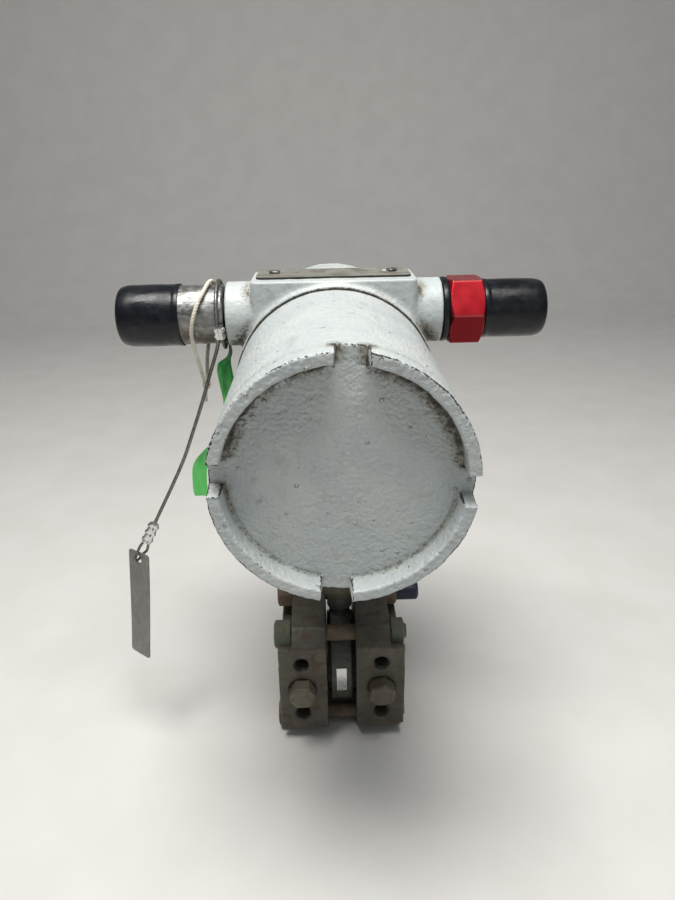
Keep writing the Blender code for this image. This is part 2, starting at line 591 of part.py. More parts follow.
def flange_bolts():
    """Four body bolts along X with nuts on the right; one long end wears a plastic sleeve."""
    seat = FLANGE_SEAT_X + GAP
    number = 0
    for way in (-1, 1):
        for rise in (BOLT_RISE, -BOLT_RISE):
            number += 1
            spot = (0, NECK_Y + way * BOLT_Y, PORT_Z + rise)
            long_end = way > 0 and rise > 0
            tip = 57 * MM if long_end else 45 * MM
            head_end = -seat - BOLT_HEAD_LENGTH
            bolt = hexagon(
                f"flange_bolt_{number}", "X", spot, BOLT_ACROSS_FLATS, -seat, head_end, CAST_STEEL
            )
            shank = [(0, -seat - 2 * MM), (BOLT_R, -seat - 2 * MM), (BOLT_R, tip - 1 * MM)]
            shank += [(BOLT_R - 1 * MM, tip), (0, tip)]
            join(bolt, turned("shank_form", "X", spot, shank, sides=SMALL))
            nut = hexagon(
                f"flange_nut_{number}", "X", spot, BOLT_ACROSS_FLATS, seat, FLANGE_OUTER_X, CAST_STEEL
            )
            cut(nut, rod("nut_bore", "X", spot, BOLT_R + 0.4 * MM, 25 * MM, 50 * MM))
            if long_end:
                start, end = FLANGE_OUTER_X + GAP, 59.5 * MM
                bore = BOLT_R + 0.4 * MM
                wall = [(0, end), (6.4 * MM, end), (7.3 * MM, end - 1 * MM), (7.3 * MM, start)]
                wall += [(bore, start), (bore, end - 2 * MM), (0, end - 2 * MM)]
                turned("bolt_sleeve", "X", spot, wall, NAVY_PLASTIC, SMALL)


def port_plugs():
    for name, side in (("left_port_plug", -1), ("right_port_plug", 1)):
        spot = (side * PORT_SPACING / 2, NECK_Y, PORT_Z)
        seat, head = -FLANGE_HALF_DEPTH + 1.1 * MM, -50 * MM
        turn = 0.3 * (side + 1) / 2
        plug = hexagon(name, "Y", spot, PLUG_ACROSS_FLATS, seat, head, CAST_STEEL, turn, chamfer=1.2 * MM)
        join(plug, rod("thread_form", "Y", spot, 6.2 * MM, seat - 2 * MM, -24 * MM))
        set_origin(plug, (spot[0], NECK_Y - FLANGE_HALF_DEPTH, PORT_Z))


def smooth_route(points, spacing):
    """Evenly spread points on a Catmull-Rom curve through the given route."""
    padded = [points[0] * 2 - points[1], *points, points[-1] * 2 - points[-2]]
    fine = []
    for a, b, c, d in zip(padded, padded[1:], padded[2:], padded[3:]):
        for i in range(24):
            t = i / 24
            fine.append(
                0.5
                * (
                    2 * b
                    + (c - a) * t
                    + (2 * a - 5 * b + 4 * c - d) * t * t
                    + (3 * b - a - 3 * c + d) * t * t * t
                )
            )
    fine.append(points[-1])
    total = sum((q - p).length for p, q in zip(fine, fine[1:]))
    count = max(2, round(total / spacing))
    chosen, travelled, target = [fine[0]], 0.0, total / count
    for p, q in zip(fine, fine[1:]):
        travelled += (q - p).length
        if travelled >= target * len(chosen) and len(chosen) < count:
            chosen.append(q)
    chosen.append(fine[-1])
    return chosen


def sweep(name, route, radius, finish):
    """A round bar along the route, as a bevelled curve with filled ends."""
    curve = bpy.data.curves.new(name, "CURVE")
    curve.dimensions = "3D"
    curve.bevel_depth = radius
    curve.bevel_resolution = 2
    curve.use_fill_caps = True
    spline = curve.splines.new("POLY")
    spline.points.add(len(route) - 1)
    for slot, point in zip(spline.points, route):
        slot.co = (*point, 1)
    curve.materials.append(material(finish))
    obj = bpy.data.objects.new(name, curve)
    bpy.context.scene.collection.objects.link(obj)
    return obj


def cord(name, points, radius, finish):
    return sweep(name, smooth_route(points, 5 * radius), radius, finish)


def round_coupling(x, degrees, clearance):
    """A point on the coupling's outside, this angle above its front, in millimetres of x."""
    radius = COUPLING_R + clearance
    angle = math.radians(degrees)
    y = CONDUIT_Y - radius * math.cos(angle)
    return Vector((x * MM, y, CONDUIT_Z + radius * math.sin(angle)))


def wire_and_tag():
    """The wire goes once round the coupling through a crimp, then hangs stiffly to the tag's ferrule."""
    off = WIRE_R + 1.1 * MM
    turns = [(-64.4, -7), (-64.4, -14), (-64.4, -22), (-64.4, -30), (-64.5, -42), (-64.8, -65)]
    turns += [(-65.1, -90), (-65.4, -135), (-65.8, -180), (-66.2, -225), (-66.5, -270)]
    turns += [(-66.6, -315), (-66.7, -345), (-66.7, -364), (-66.7, -374), (-66.7, -382), (-66.7, -390)]
    points = [round_coupling(x, degrees, off) for x, degrees in turns]
    lead = [(-67.6, 23.2, 281.2), (-69.4, 23.8, 275.4), (-73.2, 23, 265), (-79.2, 22, 248), (-87, 21.5, 228)]
    lead += [(-94, 21.5, 211), (-102, 21.5, 195), (-110, 22, 180), (-117.2, 22, 166.6)]
    points += [Vector(p) * MM for p in lead]
    route = smooth_route(points, 5 * MM)
    sweep("tag_wire", route, WIRE_R, STAINLESS)
    angle = math.radians(-22)
    middle, along = round_coupling(-65.55, -22, off), Vector((0, math.sin(angle), math.cos(angle))) * 4 * MM
    size = (3.1 * MM, 1.85 * MM)
    crimp = oval_sleeve("wire_crimp", middle + along, middle - along, size, Vector((1, 0, 0)))
    for part in (route[:4], route[22:28]):
        cut(crimp, cutter_from(sweep("bore_form", part, WIRE_R + 0.28 * MM, ZINC)))

    top, bottom = Vector((-117.6, 22, 165.8)) * MM, Vector((-125.2, 22, 151.3)) * MM
    down = (bottom - top).normalized()
    across = Vector((math.cos(0.45), 0, -math.sin(0.45)))
    inset = down * GAP
    oval_sleeve("tag_ferrule", top + inset, bottom - inset, (3.3 * MM, 2 * MM), across)

    side = Vector((0.885, 0, -0.465))
    hole = TAG_HOLE
    left, right = bottom - side * 1.7 * MM, bottom + side * 1.7 * MM
    loop = [left, left + down * 5 * MM - side * 0.8 * MM, hole + Vector((-1.5, -3.4, 1.5)) * MM]
    loop += [hole, hole + Vector((1.6, 3.4, 1.5)) * MM]
    loop += [right + down * 5 * MM + side * 0.8 * MM, right]
    cord("tag_eye", loop, 0.9 * MM, STAINLESS)
    tag()


def oval_sleeve(name, top, bottom, half_sizes, across):
    """A solid oval bar between two points, with its wide side along the given direction."""
    bm = bmesh.new()
    length = (bottom - top).length
    bmesh.ops.create_cone(bm, cap_ends=True, segments=SMALL, radius1=1, radius2=1, depth=length)
    for vert in bm.verts:
        vert.co.x *= half_sizes[0]
        vert.co.y *= half_sizes[1]
    turn = (bottom - top).to_track_quat("Z", "Y").to_matrix().to_4x4()
    level = turn.inverted() @ across
    spin = Matrix.Rotation(math.atan2(level.y, level.x), 4, "Z")
    middle = Matrix.Translation((top + bottom) / 2)
    bmesh.ops.transform(bm, verts=bm.verts, matrix=middle @ turn @ spin)
    return object_from(name, bm, ZINC)


def cutter_from(curve_object):
    """The curve object's solid as a hidden mesh object."""
    bm = bmesh.new()
    bm.from_mesh(bpy.data.meshes.new_from_object(curve_object))
    bmesh.ops.remove_doubles(bm, verts=bm.verts, dist=0.001 * MM)
    name = curve_object.name
    bpy.data.objects.remove(curve_object)
    return object_from(name, bm)


def tag():
    """A thin, slightly bowed plate with a hole at its top, hanging from the wire's eye."""
    across = Vector((math.cos(TAG_TURN), -math.sin(TAG_TURN), 0))
    down = Vector((-0.07, -0.12, -0.99))
    down = (down - across * down.dot(across)).normalized()
    front = across.cross(down).normalized()
    outline = rounded_outline((0, 0), TAG_WIDTH, TAG_LENGTH, 1.6 * MM, steps=2)
    drop = TAG_LENGTH / 2 - 5 * MM
    plate = prism("tag", "Z", outline, -TAG_THICKNESS / 2, TAG_THICKNESS / 2, STAINLESS)
    to_world = Matrix((across, down, front)).transposed().to_4x4()
    plate.data.transform(to_world @ Matrix.Translation((0, drop, 0)))
    plate.location = TAG_HOLE
    hole = rod("tag_hole", "Z", (0, 0, 0), 2.3 * MM, -3 * MM, 3 * MM, sides=TINY)
    hole.data.transform(to_world)
    hole.location = TAG_HOLE
    cut(plate, hole)


def string():
    """A cotton loop over the coupling; its two strands meet in a knot with a short tail."""
    off = STRING_R + 0.9 * MM
    knot = Vector((-78, 33, 254)) * MM
    points = [knot + Vector((-0.9, -2.2, 3.3)) * MM, Vector((-80, 27.5, 267)) * MM]
    turns = [(-82, -38), (-80.6, -5), (-77.5, 25), (-73.6, 55), (-71.2, 90), (-71, 130)]
    turns += [(-72.5, 175), (-75, 205)]
    points += [round_coupling(x, degrees, off) for x, degrees in turns]
    points += [Vector((-77.5, 44, 271)) * MM, knot + Vector((0.4, 2.4, 3.3)) * MM]
    cord("tag_string", points, STRING_R, COTTON)
    lump = turned(
        "string_knot",
        "Z",
        knot,
        [(0, -2.6 * MM), (2.4 * MM, -1.8 * MM), (3 * MM, 0), (2.4 * MM, 2 * MM), (0, 2.7 * MM)],
        COTTON,
        12,
    )
    tail = rod("tail_form", "Z", (0, 0, 0), STRING_R, -11 * MM, 0, sides=8)
    tail.data.transform(Matrix.Rotation(math.radians(8), 4, "Y"))
    tail.location = knot
    join(lump, tail)


def green_strip():
    """A plastic strip whose eye is clamped behind the coupling; it twists and hangs down."""
    eye_x = -BOSS_END_X - GAP
    centre = (0, CONDUIT_Y, CONDUIT_Z)
    ring = [(10.4 * MM, eye_x), (13.4 * MM, eye_x)]
    ring += [(13.4 * MM, eye_x - 0.9 * MM), (10.4 * MM, eye_x - 0.9 * MM)]
    eye = turned("green_strip", "X", centre, ring, GREEN_PLASTIC, MIDDLE)
    # Each stop on the way down: x, y, z in millimetres and the strip's turn towards the front
    stops = [(-62.75, 38, 284, 90), (-62.8, 38, 274.5, 90), (-63.8, 38.4, 270.5, 76), (-67.1, 40, 265.5, 42)]
    stops += [(-67.6, 41.2, 259, 22), (-66.6, 42, 250, 10), (-65.6, 42, 238, 4), (-68, 42, 223, 4)]
    stops += [(-73, 42, 212, 4), (-82, 42, 204, 6), (-88.6, 42, 196, 6), (-90.1, 42, 186, 3)]
    stops.append((-90.3, 42, 174.5, 0))
    centres = smooth_route([Vector(stop[:3]) * MM for stop in stops], 6 * MM)
    bm = bmesh.new()
    sections = []
    for i, middle in enumerate(centres):
        ahead = centres[min(i + 1, len(centres) - 1)] - centres[max(i - 1, 0)]
        degrees = turn_at(stops, middle.z)
        wide = Vector((math.cos(math.radians(degrees)), math.sin(math.radians(degrees)), 0))
        wide = (wide - ahead * (wide.dot(ahead) / ahead.length_squared)).normalized()
        thick = ahead.cross(wide).normalized() * (STRIP_THICKNESS / 2)
        wide *= STRIP_WIDTH / 2
        corners = (wide + thick, wide - thick, -wide - thick, -wide + thick)
        sections.append([bm.verts.new(middle + corner) for corner in corners])
    for first, second in zip(sections, sections[1:]):
        for i in range(4):
            j = (i + 1) % 4
            bm.faces.new([first[i], first[j], second[j], second[i]])
    bm.faces.new(sections[0])
    bm.faces.new(sections[-1])
    join(eye, object_from("strip_form", bm))


def turn_at(stops, z):
    """The strip's turn at this height, read between its stops."""
    for upper, lower in zip(stops, stops[1:]):
        if z >= lower[2] * MM:
            part = (upper[2] * MM - z) / ((upper[2] - lower[2]) * MM)
            return upper[3] + (lower[3] - upper[3]) * max(0.0, min(1.0, part))
    return stops[-1][3]


def sensor_lead():
    """The cell's lead, from the neck up to the feedthrough."""
    route = [(0, 42, 201), (-2, 42, 209), (-9, 42, 218), (-16, 41.5, 225), (-18, 37, 227.5)]
    route += [(-18, 33, 227.5), (-18, 28.4, 227.5)]
    cord("sensor_lead", [Vector(p) * MM for p in route], 2 * MM, MOULDING)


def main():
    clear_scene()
    housing()
    covers_and_seals()
    nameplate()
    conduit_fittings()
    electronics()
    terminals()
    neck()
    cell()
    flange("left_flange", -1)
    flange("right_flange", 1)
    flange_bolts()
    port_plugs()
    wire_and_tag()
    string()
    green_strip()
    sensor_lead()


main()
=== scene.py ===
"""The looks, camera and studio of a differential pressure transmitter.

Every length is in millimetres in the row frame until a mesh is made. Castings come from
distance fields, turned parts from profiles, and each piece rides on its CAD body.
"""

import math
import random

import bpy
import numpy as np
from mathutils import Matrix, Vector, noise


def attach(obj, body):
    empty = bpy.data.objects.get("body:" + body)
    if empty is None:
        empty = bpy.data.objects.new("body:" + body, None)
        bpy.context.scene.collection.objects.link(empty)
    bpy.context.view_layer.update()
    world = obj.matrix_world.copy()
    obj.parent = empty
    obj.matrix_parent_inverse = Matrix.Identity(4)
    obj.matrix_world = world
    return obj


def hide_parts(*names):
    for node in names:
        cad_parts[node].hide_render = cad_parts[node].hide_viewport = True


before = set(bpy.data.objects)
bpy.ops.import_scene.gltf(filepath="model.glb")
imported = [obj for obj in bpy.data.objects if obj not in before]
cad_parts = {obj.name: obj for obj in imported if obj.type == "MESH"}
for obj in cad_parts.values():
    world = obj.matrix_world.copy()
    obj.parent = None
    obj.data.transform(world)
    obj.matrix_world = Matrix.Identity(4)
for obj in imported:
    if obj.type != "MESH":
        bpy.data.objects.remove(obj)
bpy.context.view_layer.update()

MM = 0.001
COARSE = 1
AXIS_Z = 255.5
HOUSING = (0, 0, AXIS_Z)
CONDUIT = (0, 38, 295.5)
NECK_Y = 42
PORT_Z = 44
CELL = (0, NECK_Y, PORT_Z)


# ---------------------------------------------------------------- materials


class Look:
    """A procedural material on object coordinates. Sizes of features are in millimetres."""

    def __init__(self, name, **inputs):
        self.made = bpy.data.materials.new(name)
        self.made.use_nodes = True
        self.tree = self.made.node_tree
        self.shader = self.tree.nodes["Principled BSDF"]
        self.place = self.add("ShaderNodeTexCoord").outputs["Object"]
        self.bumped = None
        for key, value in inputs.items():
            self.feed(self.shader.inputs[key.replace("_", " ").title().replace("Ior", "IOR")], value)

    def add(self, kind, **settings):
        node = self.tree.nodes.new(kind)
        for key, value in settings.items():
            setattr(node, key, value)
        return node

    def feed(self, socket, value):
        if isinstance(value, bpy.types.NodeSocket):
            self.tree.links.new(value, socket)
        elif socket.type == "RGBA":
            socket.default_value = (*value, 1) if isinstance(value, tuple) else (value, value, value, 1)
        else:
            socket.default_value = value

    def colour(self, value):
        self.feed(self.shader.inputs["Base Color"], value)

    def rough(self, value):
        self.feed(self.shader.inputs["Roughness"], value)

    def metal(self, value):
        self.feed(self.shader.inputs["Metallic"], value)

    def maths(self, operation, a, b=0.0):
        node = self.add("ShaderNodeMath", operation=operation)
        self.feed(node.inputs[0], a)
        self.feed(node.inputs[1], b)
        return node.outputs[0]

    def times(self, a, b):
        return self.maths("MULTIPLY", a, b)

    def along(self, axis):
        """The object coordinate along this axis, in metres."""
        node = self.add("ShaderNodeSeparateXYZ")
        self.feed(node.inputs[0], self.place)
        return node.outputs["XYZ".index(axis)]

    def step(self, value, low, high, start=0.0, end=1.0):
        """Goes smoothly from start to end as the value goes from low to high."""
        node = self.add("ShaderNodeMapRange", interpolation_type="SMOOTHSTEP")
        names = ("Value", "From Min", "From Max", "To Min", "To Max")
        for key, number in zip(names, (value, low, high, start, end)):
            self.feed(node.inputs[key], number)
        return node.outputs["Result"]

    def mix(self, factor, a, b):
        node = self.add("ShaderNodeMix", data_type="RGBA")
        self.feed(node.inputs[0], factor)
        self.feed(node.inputs[6], a)
        self.feed(node.inputs[7], b)
        return node.outputs[2]

    def stretched(self, stretch):
        if stretch is None:
            return self.place
        node = self.add("ShaderNodeMapping")
        self.feed(node.inputs["Vector"], self.place)
        node.inputs["Scale"].default_value = stretch
        return node.outputs["Vector"]

    def noise(self, size, detail=3.0, stretch=None, distortion=0.0):
        node = self.add("ShaderNodeTexNoise")
        self.feed(node.inputs["Vector"], self.stretched(stretch))
        node.inputs["Scale"].default_value = 1000 / size
        node.inputs["Detail"].default_value = detail
        node.inputs["Distortion"].default_value = distortion
        return node.outputs["Fac"]

    def cells(self, size, output="Distance", feature="F1"):
        node = self.add("ShaderNodeTexVoronoi", feature=feature)
        self.feed(node.inputs["Vector"], self.place)
        node.inputs["Scale"].default_value = 1000 / size
        return node.outputs[output]

    def spots(self, size, share, radius):
        """Round spots: this share of cells of this size each has one, of this radius in cells."""
        node = self.add("ShaderNodeTexVoronoi")
        self.feed(node.inputs["Vector"], self.place)
        node.inputs["Scale"].default_value = 1000 / size
        split = self.add("ShaderNodeSeparateColor")
        self.feed(split.inputs[0], node.outputs["Color"])
        near = self.step(node.outputs["Distance"], radius, radius * 0.35)
        return self.times(near, self.step(split.outputs[0], 1 - share, 1.0001 - share))

    def painted_on(self, name):
        node = self.add("ShaderNodeAttribute", attribute_name=name)
        return node.outputs["Fac"]

    def bump(self, height, depth):
        """Adds relief of this depth in millimetres."""
        node = self.add("ShaderNodeBump")
        node.inputs["Strength"].default_value = 1.0
        node.inputs["Distance"].default_value = depth * MM
        self.feed(node.inputs["Height"], height)
        if self.bumped:
            self.feed(node.inputs["Normal"], self.bumped)
        self.bumped = node.outputs["Normal"]
        self.feed(self.shader.inputs["Normal"], self.bumped)


def paint(name="white_paint", pebbled=False):
    """Worn grey-white enamel on a casting: chipped at its edges, brown grime in its corners, and a near-black band
    there that is partly painted shade.
    """
    look = Look(name)
    edge, hollow = look.painted_on("edge"), look.painted_on("hollow")
    fine, broad = look.noise(1.1, 5), look.noise(34, 3)
    base = look.mix(look.step(broad, 0.35, 0.65), (0.485, 0.53, 0.53), (0.55, 0.585, 0.57))
    base = look.mix(look.step(look.noise(9, 4), 0.5, 0.8, 0, 0.35), base, (0.40, 0.43, 0.42))
    scuff = look.noise(6, 6, stretch=(1, 0.2, 1))
    base = look.mix(look.step(scuff, 0.58, 0.74, 0, 0.4), base, (0.36, 0.36, 0.315))
    haze = look.times(look.step(hollow, 0.0, 0.6), look.step(look.noise(15, 5), 0.3, 0.66))
    base = look.mix(look.times(haze, 0.8), base, (0.21, 0.185, 0.12))
    speckle = look.times(look.step(hollow, 0.05, 0.5), look.step(look.noise(1.5, 5), 0.5, 0.62))
    base = look.mix(look.times(speckle, 0.75), base, (0.085, 0.07, 0.045))
    # Near-black where the hollow mark is strong: partly grime, partly painted shade at the foot of the cover rims
    # and in the gaps between parts.
    uneven = look.maths("ADD", hollow, look.step(look.noise(5, 6), 0.3, 0.7, -0.22, 0.2))
    base = look.mix(look.step(uneven, 0.42, 0.86, 0, 0.93), base, (0.04, 0.033, 0.022))
    worn = look.maths("ADD", look.times(edge, 0.66), look.times(look.noise(1.3, 6), 0.75))
    worn = look.maths("ADD", worn, look.step(look.noise(16, 3), 0.35, 0.65, -0.08, 0.06))
    chips = look.step(worn, 0.80, 0.84)
    base = look.mix(chips, base, look.mix(fine, (0.012, 0.011, 0.010), (0.09, 0.085, 0.078)))
    for size, share, radius, depth in ((7, 0.14, 0.09, 0.85), (3.1, 0.10, 0.14, 0.7)):
        specks = look.spots(size, share, radius)
        base = look.mix(look.times(specks, depth), base, (0.07, 0.065, 0.055))
    grains = look.spots(2.3, 0.22, 0.22)
    base = look.mix(look.times(grains, 0.35), base, (0.72, 0.75, 0.74))
    look.colour(base)
    look.rough(look.mix(chips, look.step(look.noise(4, 4), 0.3, 0.7, 0.36, 0.52), 0.75))
    look.bump(chips, -0.12)
    look.bump(look.noise(3.2, 3), 0.4)
    look.bump(fine, 0.16)
    if pebbled:
        look.bump(look.maths("POWER", look.cells(1.9), 2), -0.3)
        look.bump(look.noise(1.7, 2), 0.4)
        look.bump(look.spots(6.0, 0.34, 0.2), 1.0)
        look.bump(look.spots(8.3, 0.3, 0.14), -0.9)
    return look.made


def forged(name="forged_steel", tint=(0.068, 0.060, 0.043), rust=(0.085, 0.052, 0.030), shine=0.35,
           ends=None):
    """Old process steel: dark olive-brown skin, rust patches and bright worn edges."""
    look = Look(name)
    edge, hollow = look.painted_on("edge"), look.painted_on("hollow")
    patch = look.noise(14, 6, distortion=0.4)
    base = look.mix(look.step(patch, 0.36, 0.62), tint, tuple(1.45 * c for c in tint))
    if ends:
        outer = look.step(look.maths("ABSOLUTE", look.along("X")), 0.032, 0.034)
        base = look.mix(look.times(outer, look.step(look.noise(6, 5), 0.3, 0.5)), base, ends)
    rusty = look.step(look.noise(7, 7, distortion=0.6), 0.5, 0.68)
    base = look.mix(look.times(rusty, 0.55), base, rust)
    base = look.mix(look.step(look.noise(2.2, 5), 0.55, 0.75, 0, 0.5), base, (0.15, 0.14, 0.115))
    base = look.mix(look.step(hollow, 0.1, 0.7, 0, 0.8), base, (0.025, 0.02, 0.014))
    worn = look.maths("ADD", look.times(edge, 0.7), look.times(look.noise(3.5, 6), 0.7))
    bright = look.step(worn, 0.78, 0.95)
    base = look.mix(look.times(bright, 0.7), base, (0.34, 0.33, 0.30))
    look.colour(base)
    look.metal(look.times(bright, 0.8))
    look.rough(look.mix(rusty, look.step(look.noise(5, 4), 0.3, 0.7, shine, shine + 0.2), 0.8))
    look.bump(look.noise(4, 5), 0.35)
    look.bump(look.noise(0.9, 4), 0.09)
    return look.made


def zinc(name="zinc", streak="X", shade_and_grime_below=None):
    """Galvanised or zinc-plated steel, mottled grey with darker oxide, and darker and browner below a height, which
    is painted shade as well as grime.
    """
    look = Look(name)
    along = {"X": (0.35, 1, 1), "Z": (1, 1, 0.35)}[streak]
    mottled = look.noise(4.5, 6, stretch=along, distortion=0.5)
    base = look.mix(look.step(mottled, 0.34, 0.66), (0.10, 0.10, 0.095), (0.42, 0.42, 0.41))
    spangle = look.cells(3.2, "Color")
    base = look.mix(0.16, base, look.mix(look.step(spangle, 0.2, 0.9), (0.22, 0.23, 0.24), (0.68, 0.69, 0.7)))
    dirt = look.step(look.noise(8, 6), 0.54, 0.7)
    base = look.mix(look.times(dirt, 0.7), base, (0.13, 0.115, 0.09))
    if shade_and_grime_below:
        # Painted shade and grime: the colour goes dark brown below the given height.
        low = look.step(look.along("Z"), shade_and_grime_below, shade_and_grime_below - 0.016)
        uneven = look.step(look.noise(7, 5), 0.25, 0.6, 0.35, 0.9)
        base = look.mix(look.times(low, uneven), base, (0.09, 0.075, 0.052))
    look.colour(base)
    look.metal(look.step(dirt, 0, 1, 0.85, 0.45))
    look.rough(look.step(look.noise(2.5, 5), 0.3, 0.7, 0.28, 0.55))
    look.bump(look.noise(1.6, 5, stretch=along), 0.12)
    return look.made


def steel(name, light, dark, rough, brush, dull=0.0):
    """Thin stainless or aluminium plate with a brushed grain and scratches."""
    look = Look(name)
    grain = look.noise(0.7, 3, stretch=brush)
    base = look.mix(look.step(grain, 0.35, 0.65), dark, light)
    base = look.mix(look.step(look.noise(12, 5), 0.4, 0.65, 0, 0.5), base, tuple(0.62 * c for c in light))
    scratch = look.step(look.noise(5, 2, stretch=(4, 4, 0.12), distortion=1.2), 0.66, 0.69)
    base = look.mix(look.times(scratch, 0.5), base, tuple(min(1, 1.6 * c) for c in light))
    look.colour(base)
    look.metal(look.step(look.noise(9, 5), 0.35, 0.7, 1 - dull, 0.8 - dull))
    look.rough(look.step(grain, 0.3, 0.7, rough, rough + 0.18))
    look.bump(grain, 0.02)
    look.bump(look.noise(6, 3), 0.12)
    return look.made


def edged_plate():
    """A blank plate, dull and dusty on top, with its side faces painted near-black as shade."""
    look = Look("plate_steel")
    grain = look.noise(1.6, 3, stretch=(0.1, 1, 1))
    base = look.mix(look.step(grain, 0.35, 0.65), (0.22, 0.218, 0.188), (0.29, 0.285, 0.25))
    base = look.mix(look.step(look.noise(10, 6), 0.42, 0.66, 0, 0.8), base, (0.15, 0.135, 0.10))
    base = look.mix(look.step(look.noise(2.4, 6), 0.6, 0.75, 0, 0.6), base, (0.50, 0.49, 0.44))
    base = look.mix(look.step(look.noise(1.5, 5), 0.6, 0.72, 0, 0.7), base, (0.06, 0.055, 0.045))
    # Painted shade: everything below the plate's top face, that is its side faces, is near-black.
    base = look.mix(look.step(look.along("Z"), 0.31772, 0.31755), base, (0.035, 0.032, 0.028))
    look.colour(base)
    look.metal(look.step(look.noise(9, 5), 0.35, 0.7, 0.35, 0.15))
    look.rough(look.step(grain, 0.3, 0.7, 0.42, 0.6))
    look.bump(look.noise(1.6, 5), 0.1)
    return look.made


def rubber():
    """Smooth black moulded rubber with dust, faint ripples and handling marks."""
    look = Look("black_rubber", specular_ior_level=0.34)
    colour, rough = (0.004, 0.0046, 0.007), 0.24
    dust = look.step(look.noise(6, 7), 0.52, 0.75)
    base = look.mix(look.step(look.noise(20, 4), 0.35, 0.7), colour, tuple(1.7 * c for c in colour))
    base = look.mix(look.times(dust, 0.05), base, (0.2, 0.2, 0.23))
    look.colour(base)
    look.rough(look.step(look.noise(7, 5), 0.3, 0.7, rough, rough + 0.16))
    look.bump(look.noise(9, 3, stretch=(0.5, 1, 1)), 0.5)
    look.bump(look.noise(0.8, 3), 0.02)
    return look.made


def anodised():
    """Red anodised aluminium: a fine turned grain, paler rubbed edges and a lower half darkened as painted shade.
    """
    look = Look("red_anodised")
    grain = look.noise(2.6, 2, stretch=(0.12, 1, 1))
    base = look.mix(look.step(look.noise(16, 2), 0.35, 0.65), (0.42, 0.010, 0.02), (0.49, 0.018, 0.028))
    base = look.mix(look.step(grain, 0.35, 0.65, 0, 0.15), base, (0.55, 0.03, 0.045))
    # Painted shade: the lower facets are darkened below a fixed height.
    base = look.mix(look.step(look.along("Z"), 0.2965, 0.2945, 0, 0.78), base, (0.10, 0.002, 0.005))
    edge = look.step(look.painted_on("edge"), 0.2, 1.0, 0, 0.35)
    base = look.mix(edge, base, (0.66, 0.16, 0.16))
    look.colour(base)
    look.metal(look.step(look.noise(10, 2), 0.3, 0.7, 0.86, 0.82))
    look.rough(look.step(look.noise(6, 2), 0.3, 0.7, 0.28, 0.33))
    look.bump(grain, 0.01)
    return look.made


def cotton():
    """Undyed cotton: warm cream with darker dirt between its fibres."""
    look = Look("cotton", sheen_weight=0.35, sheen_roughness=0.6)
    base = look.mix(look.step(look.noise(5, 5), 0.35, 0.7), (0.66, 0.60, 0.47), (0.80, 0.76, 0.66))
    base = look.mix(look.step(look.noise(0.5, 4), 0.5, 0.75, 0, 0.5), base, (0.45, 0.40, 0.30))
    look.colour(base)
    look.rough(look.step(look.noise(2, 2), 0.3, 0.7, 0.85, 0.98))
    look.bump(look.noise(0.28, 4, stretch=(1, 1, 0.4)), 0.12)
    return look.made


def green_film():
    """Bright green plastic strip, paler where its edge mark is set and darker where its hollow mark is set; the
    darkening is painted shade.
    """
    look = Look("green_plastic", subsurface_weight=0.12, subsurface_radius=(0.002, 0.004, 0.001))
    streak = look.noise(3, 4, stretch=(1, 1, 0.15))
    base = look.mix(look.step(streak, 0.35, 0.65), (0.035, 0.34, 0.07), (0.10, 0.56, 0.13))
    # Painted shade: the hollow mark darkens the strip near its top behind the coupling, and all of its eye.
    base = look.mix(look.painted_on("hollow"), base, (0.008, 0.09, 0.022))
    base = look.mix(look.painted_on("edge"), base, (0.16, 0.74, 0.17))
    look.colour(base)
    look.rough(look.step(look.noise(4, 4), 0.3, 0.7, 0.3, 0.48))
    look.bump(streak, 0.15)
    return look.made


def moulding(name, colour, rough=0.5, speck=(0.2, 0.2, 0.2)):
    """Plain moulded plastic with a fine sparked texture and a little dust."""
    look = Look(name)
    base = look.mix(look.step(look.noise(9, 4), 0.35, 0.65), colour, tuple(1.35 * c for c in colour))
    base = look.mix(look.step(look.noise(1.2, 6), 0.6, 0.8, 0, 0.25), base, speck)
    look.colour(base)
    look.rough(look.step(look.noise(3, 4), 0.3, 0.7, rough, rough + 0.15))
    look.bump(look.noise(0.35, 3), 0.03)
    return look.made


def board():
    """Coated circuit board with paler pads and fine tracks."""
    look = Look("circuit_board")
    tracks = look.step(look.cells(2.4, "Distance", "DISTANCE_TO_EDGE"), 0.03, 0.06)
    pads = look.spots(2.2, 0.35, 0.3)
    base = look.mix(tracks, (0.05, 0.26, 0.10), (0.012, 0.12, 0.045))
    base = look.mix(pads, base, (0.55, 0.56, 0.52))
    look.colour(base)
    look.metal(look.times(pads, 0.8))
    look.rough(look.step(pads, 0, 1, 0.3, 0.45))
    look.bump(tracks, -0.04)
    return look.made


# ---------------------------------------------------------------- meshes


def linked(name, data):
    obj = bpy.data.objects.new(name, data)
    bpy.context.scene.collection.objects.link(obj)
    return obj


def put(name, points, faces, look, body, nodes=(), slot=None, sharp=40, marks=None):
    """A piece from points in millimetres: it takes the look, rides on the body and stands for the nodes."""
    points = np.asarray(points, float)
    corners = np.array([[f[0], f[1], f[2]] for f in faces])
    a, b, c = (points[corners[:, k]] for k in range(3))
    if np.einsum("ij,ij->i", a, np.cross(b, c)).sum() < 0:
        faces = [tuple(reversed(f)) for f in faces]
    mesh = bpy.data.meshes.new(name)
    mesh.from_pydata((points * MM).tolist(), [], [tuple(map(int, f)) for f in faces])
    mesh.shade_smooth()
    mesh.set_sharp_from_angle(angle=math.radians(sharp))
    for key in ("edge", "hollow"):
        values = (marks or {}).get(key)
        if values is not None:
            layer = mesh.attributes.new(key, "FLOAT", "POINT")
            layer.data.foreach_set("value", np.asarray(values, np.float32))
    mesh.materials.append(look)
    obj = linked(name, mesh)
    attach(obj, body)
    if nodes:
        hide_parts(*([nodes] if isinstance(nodes, str) else nodes))
    return obj


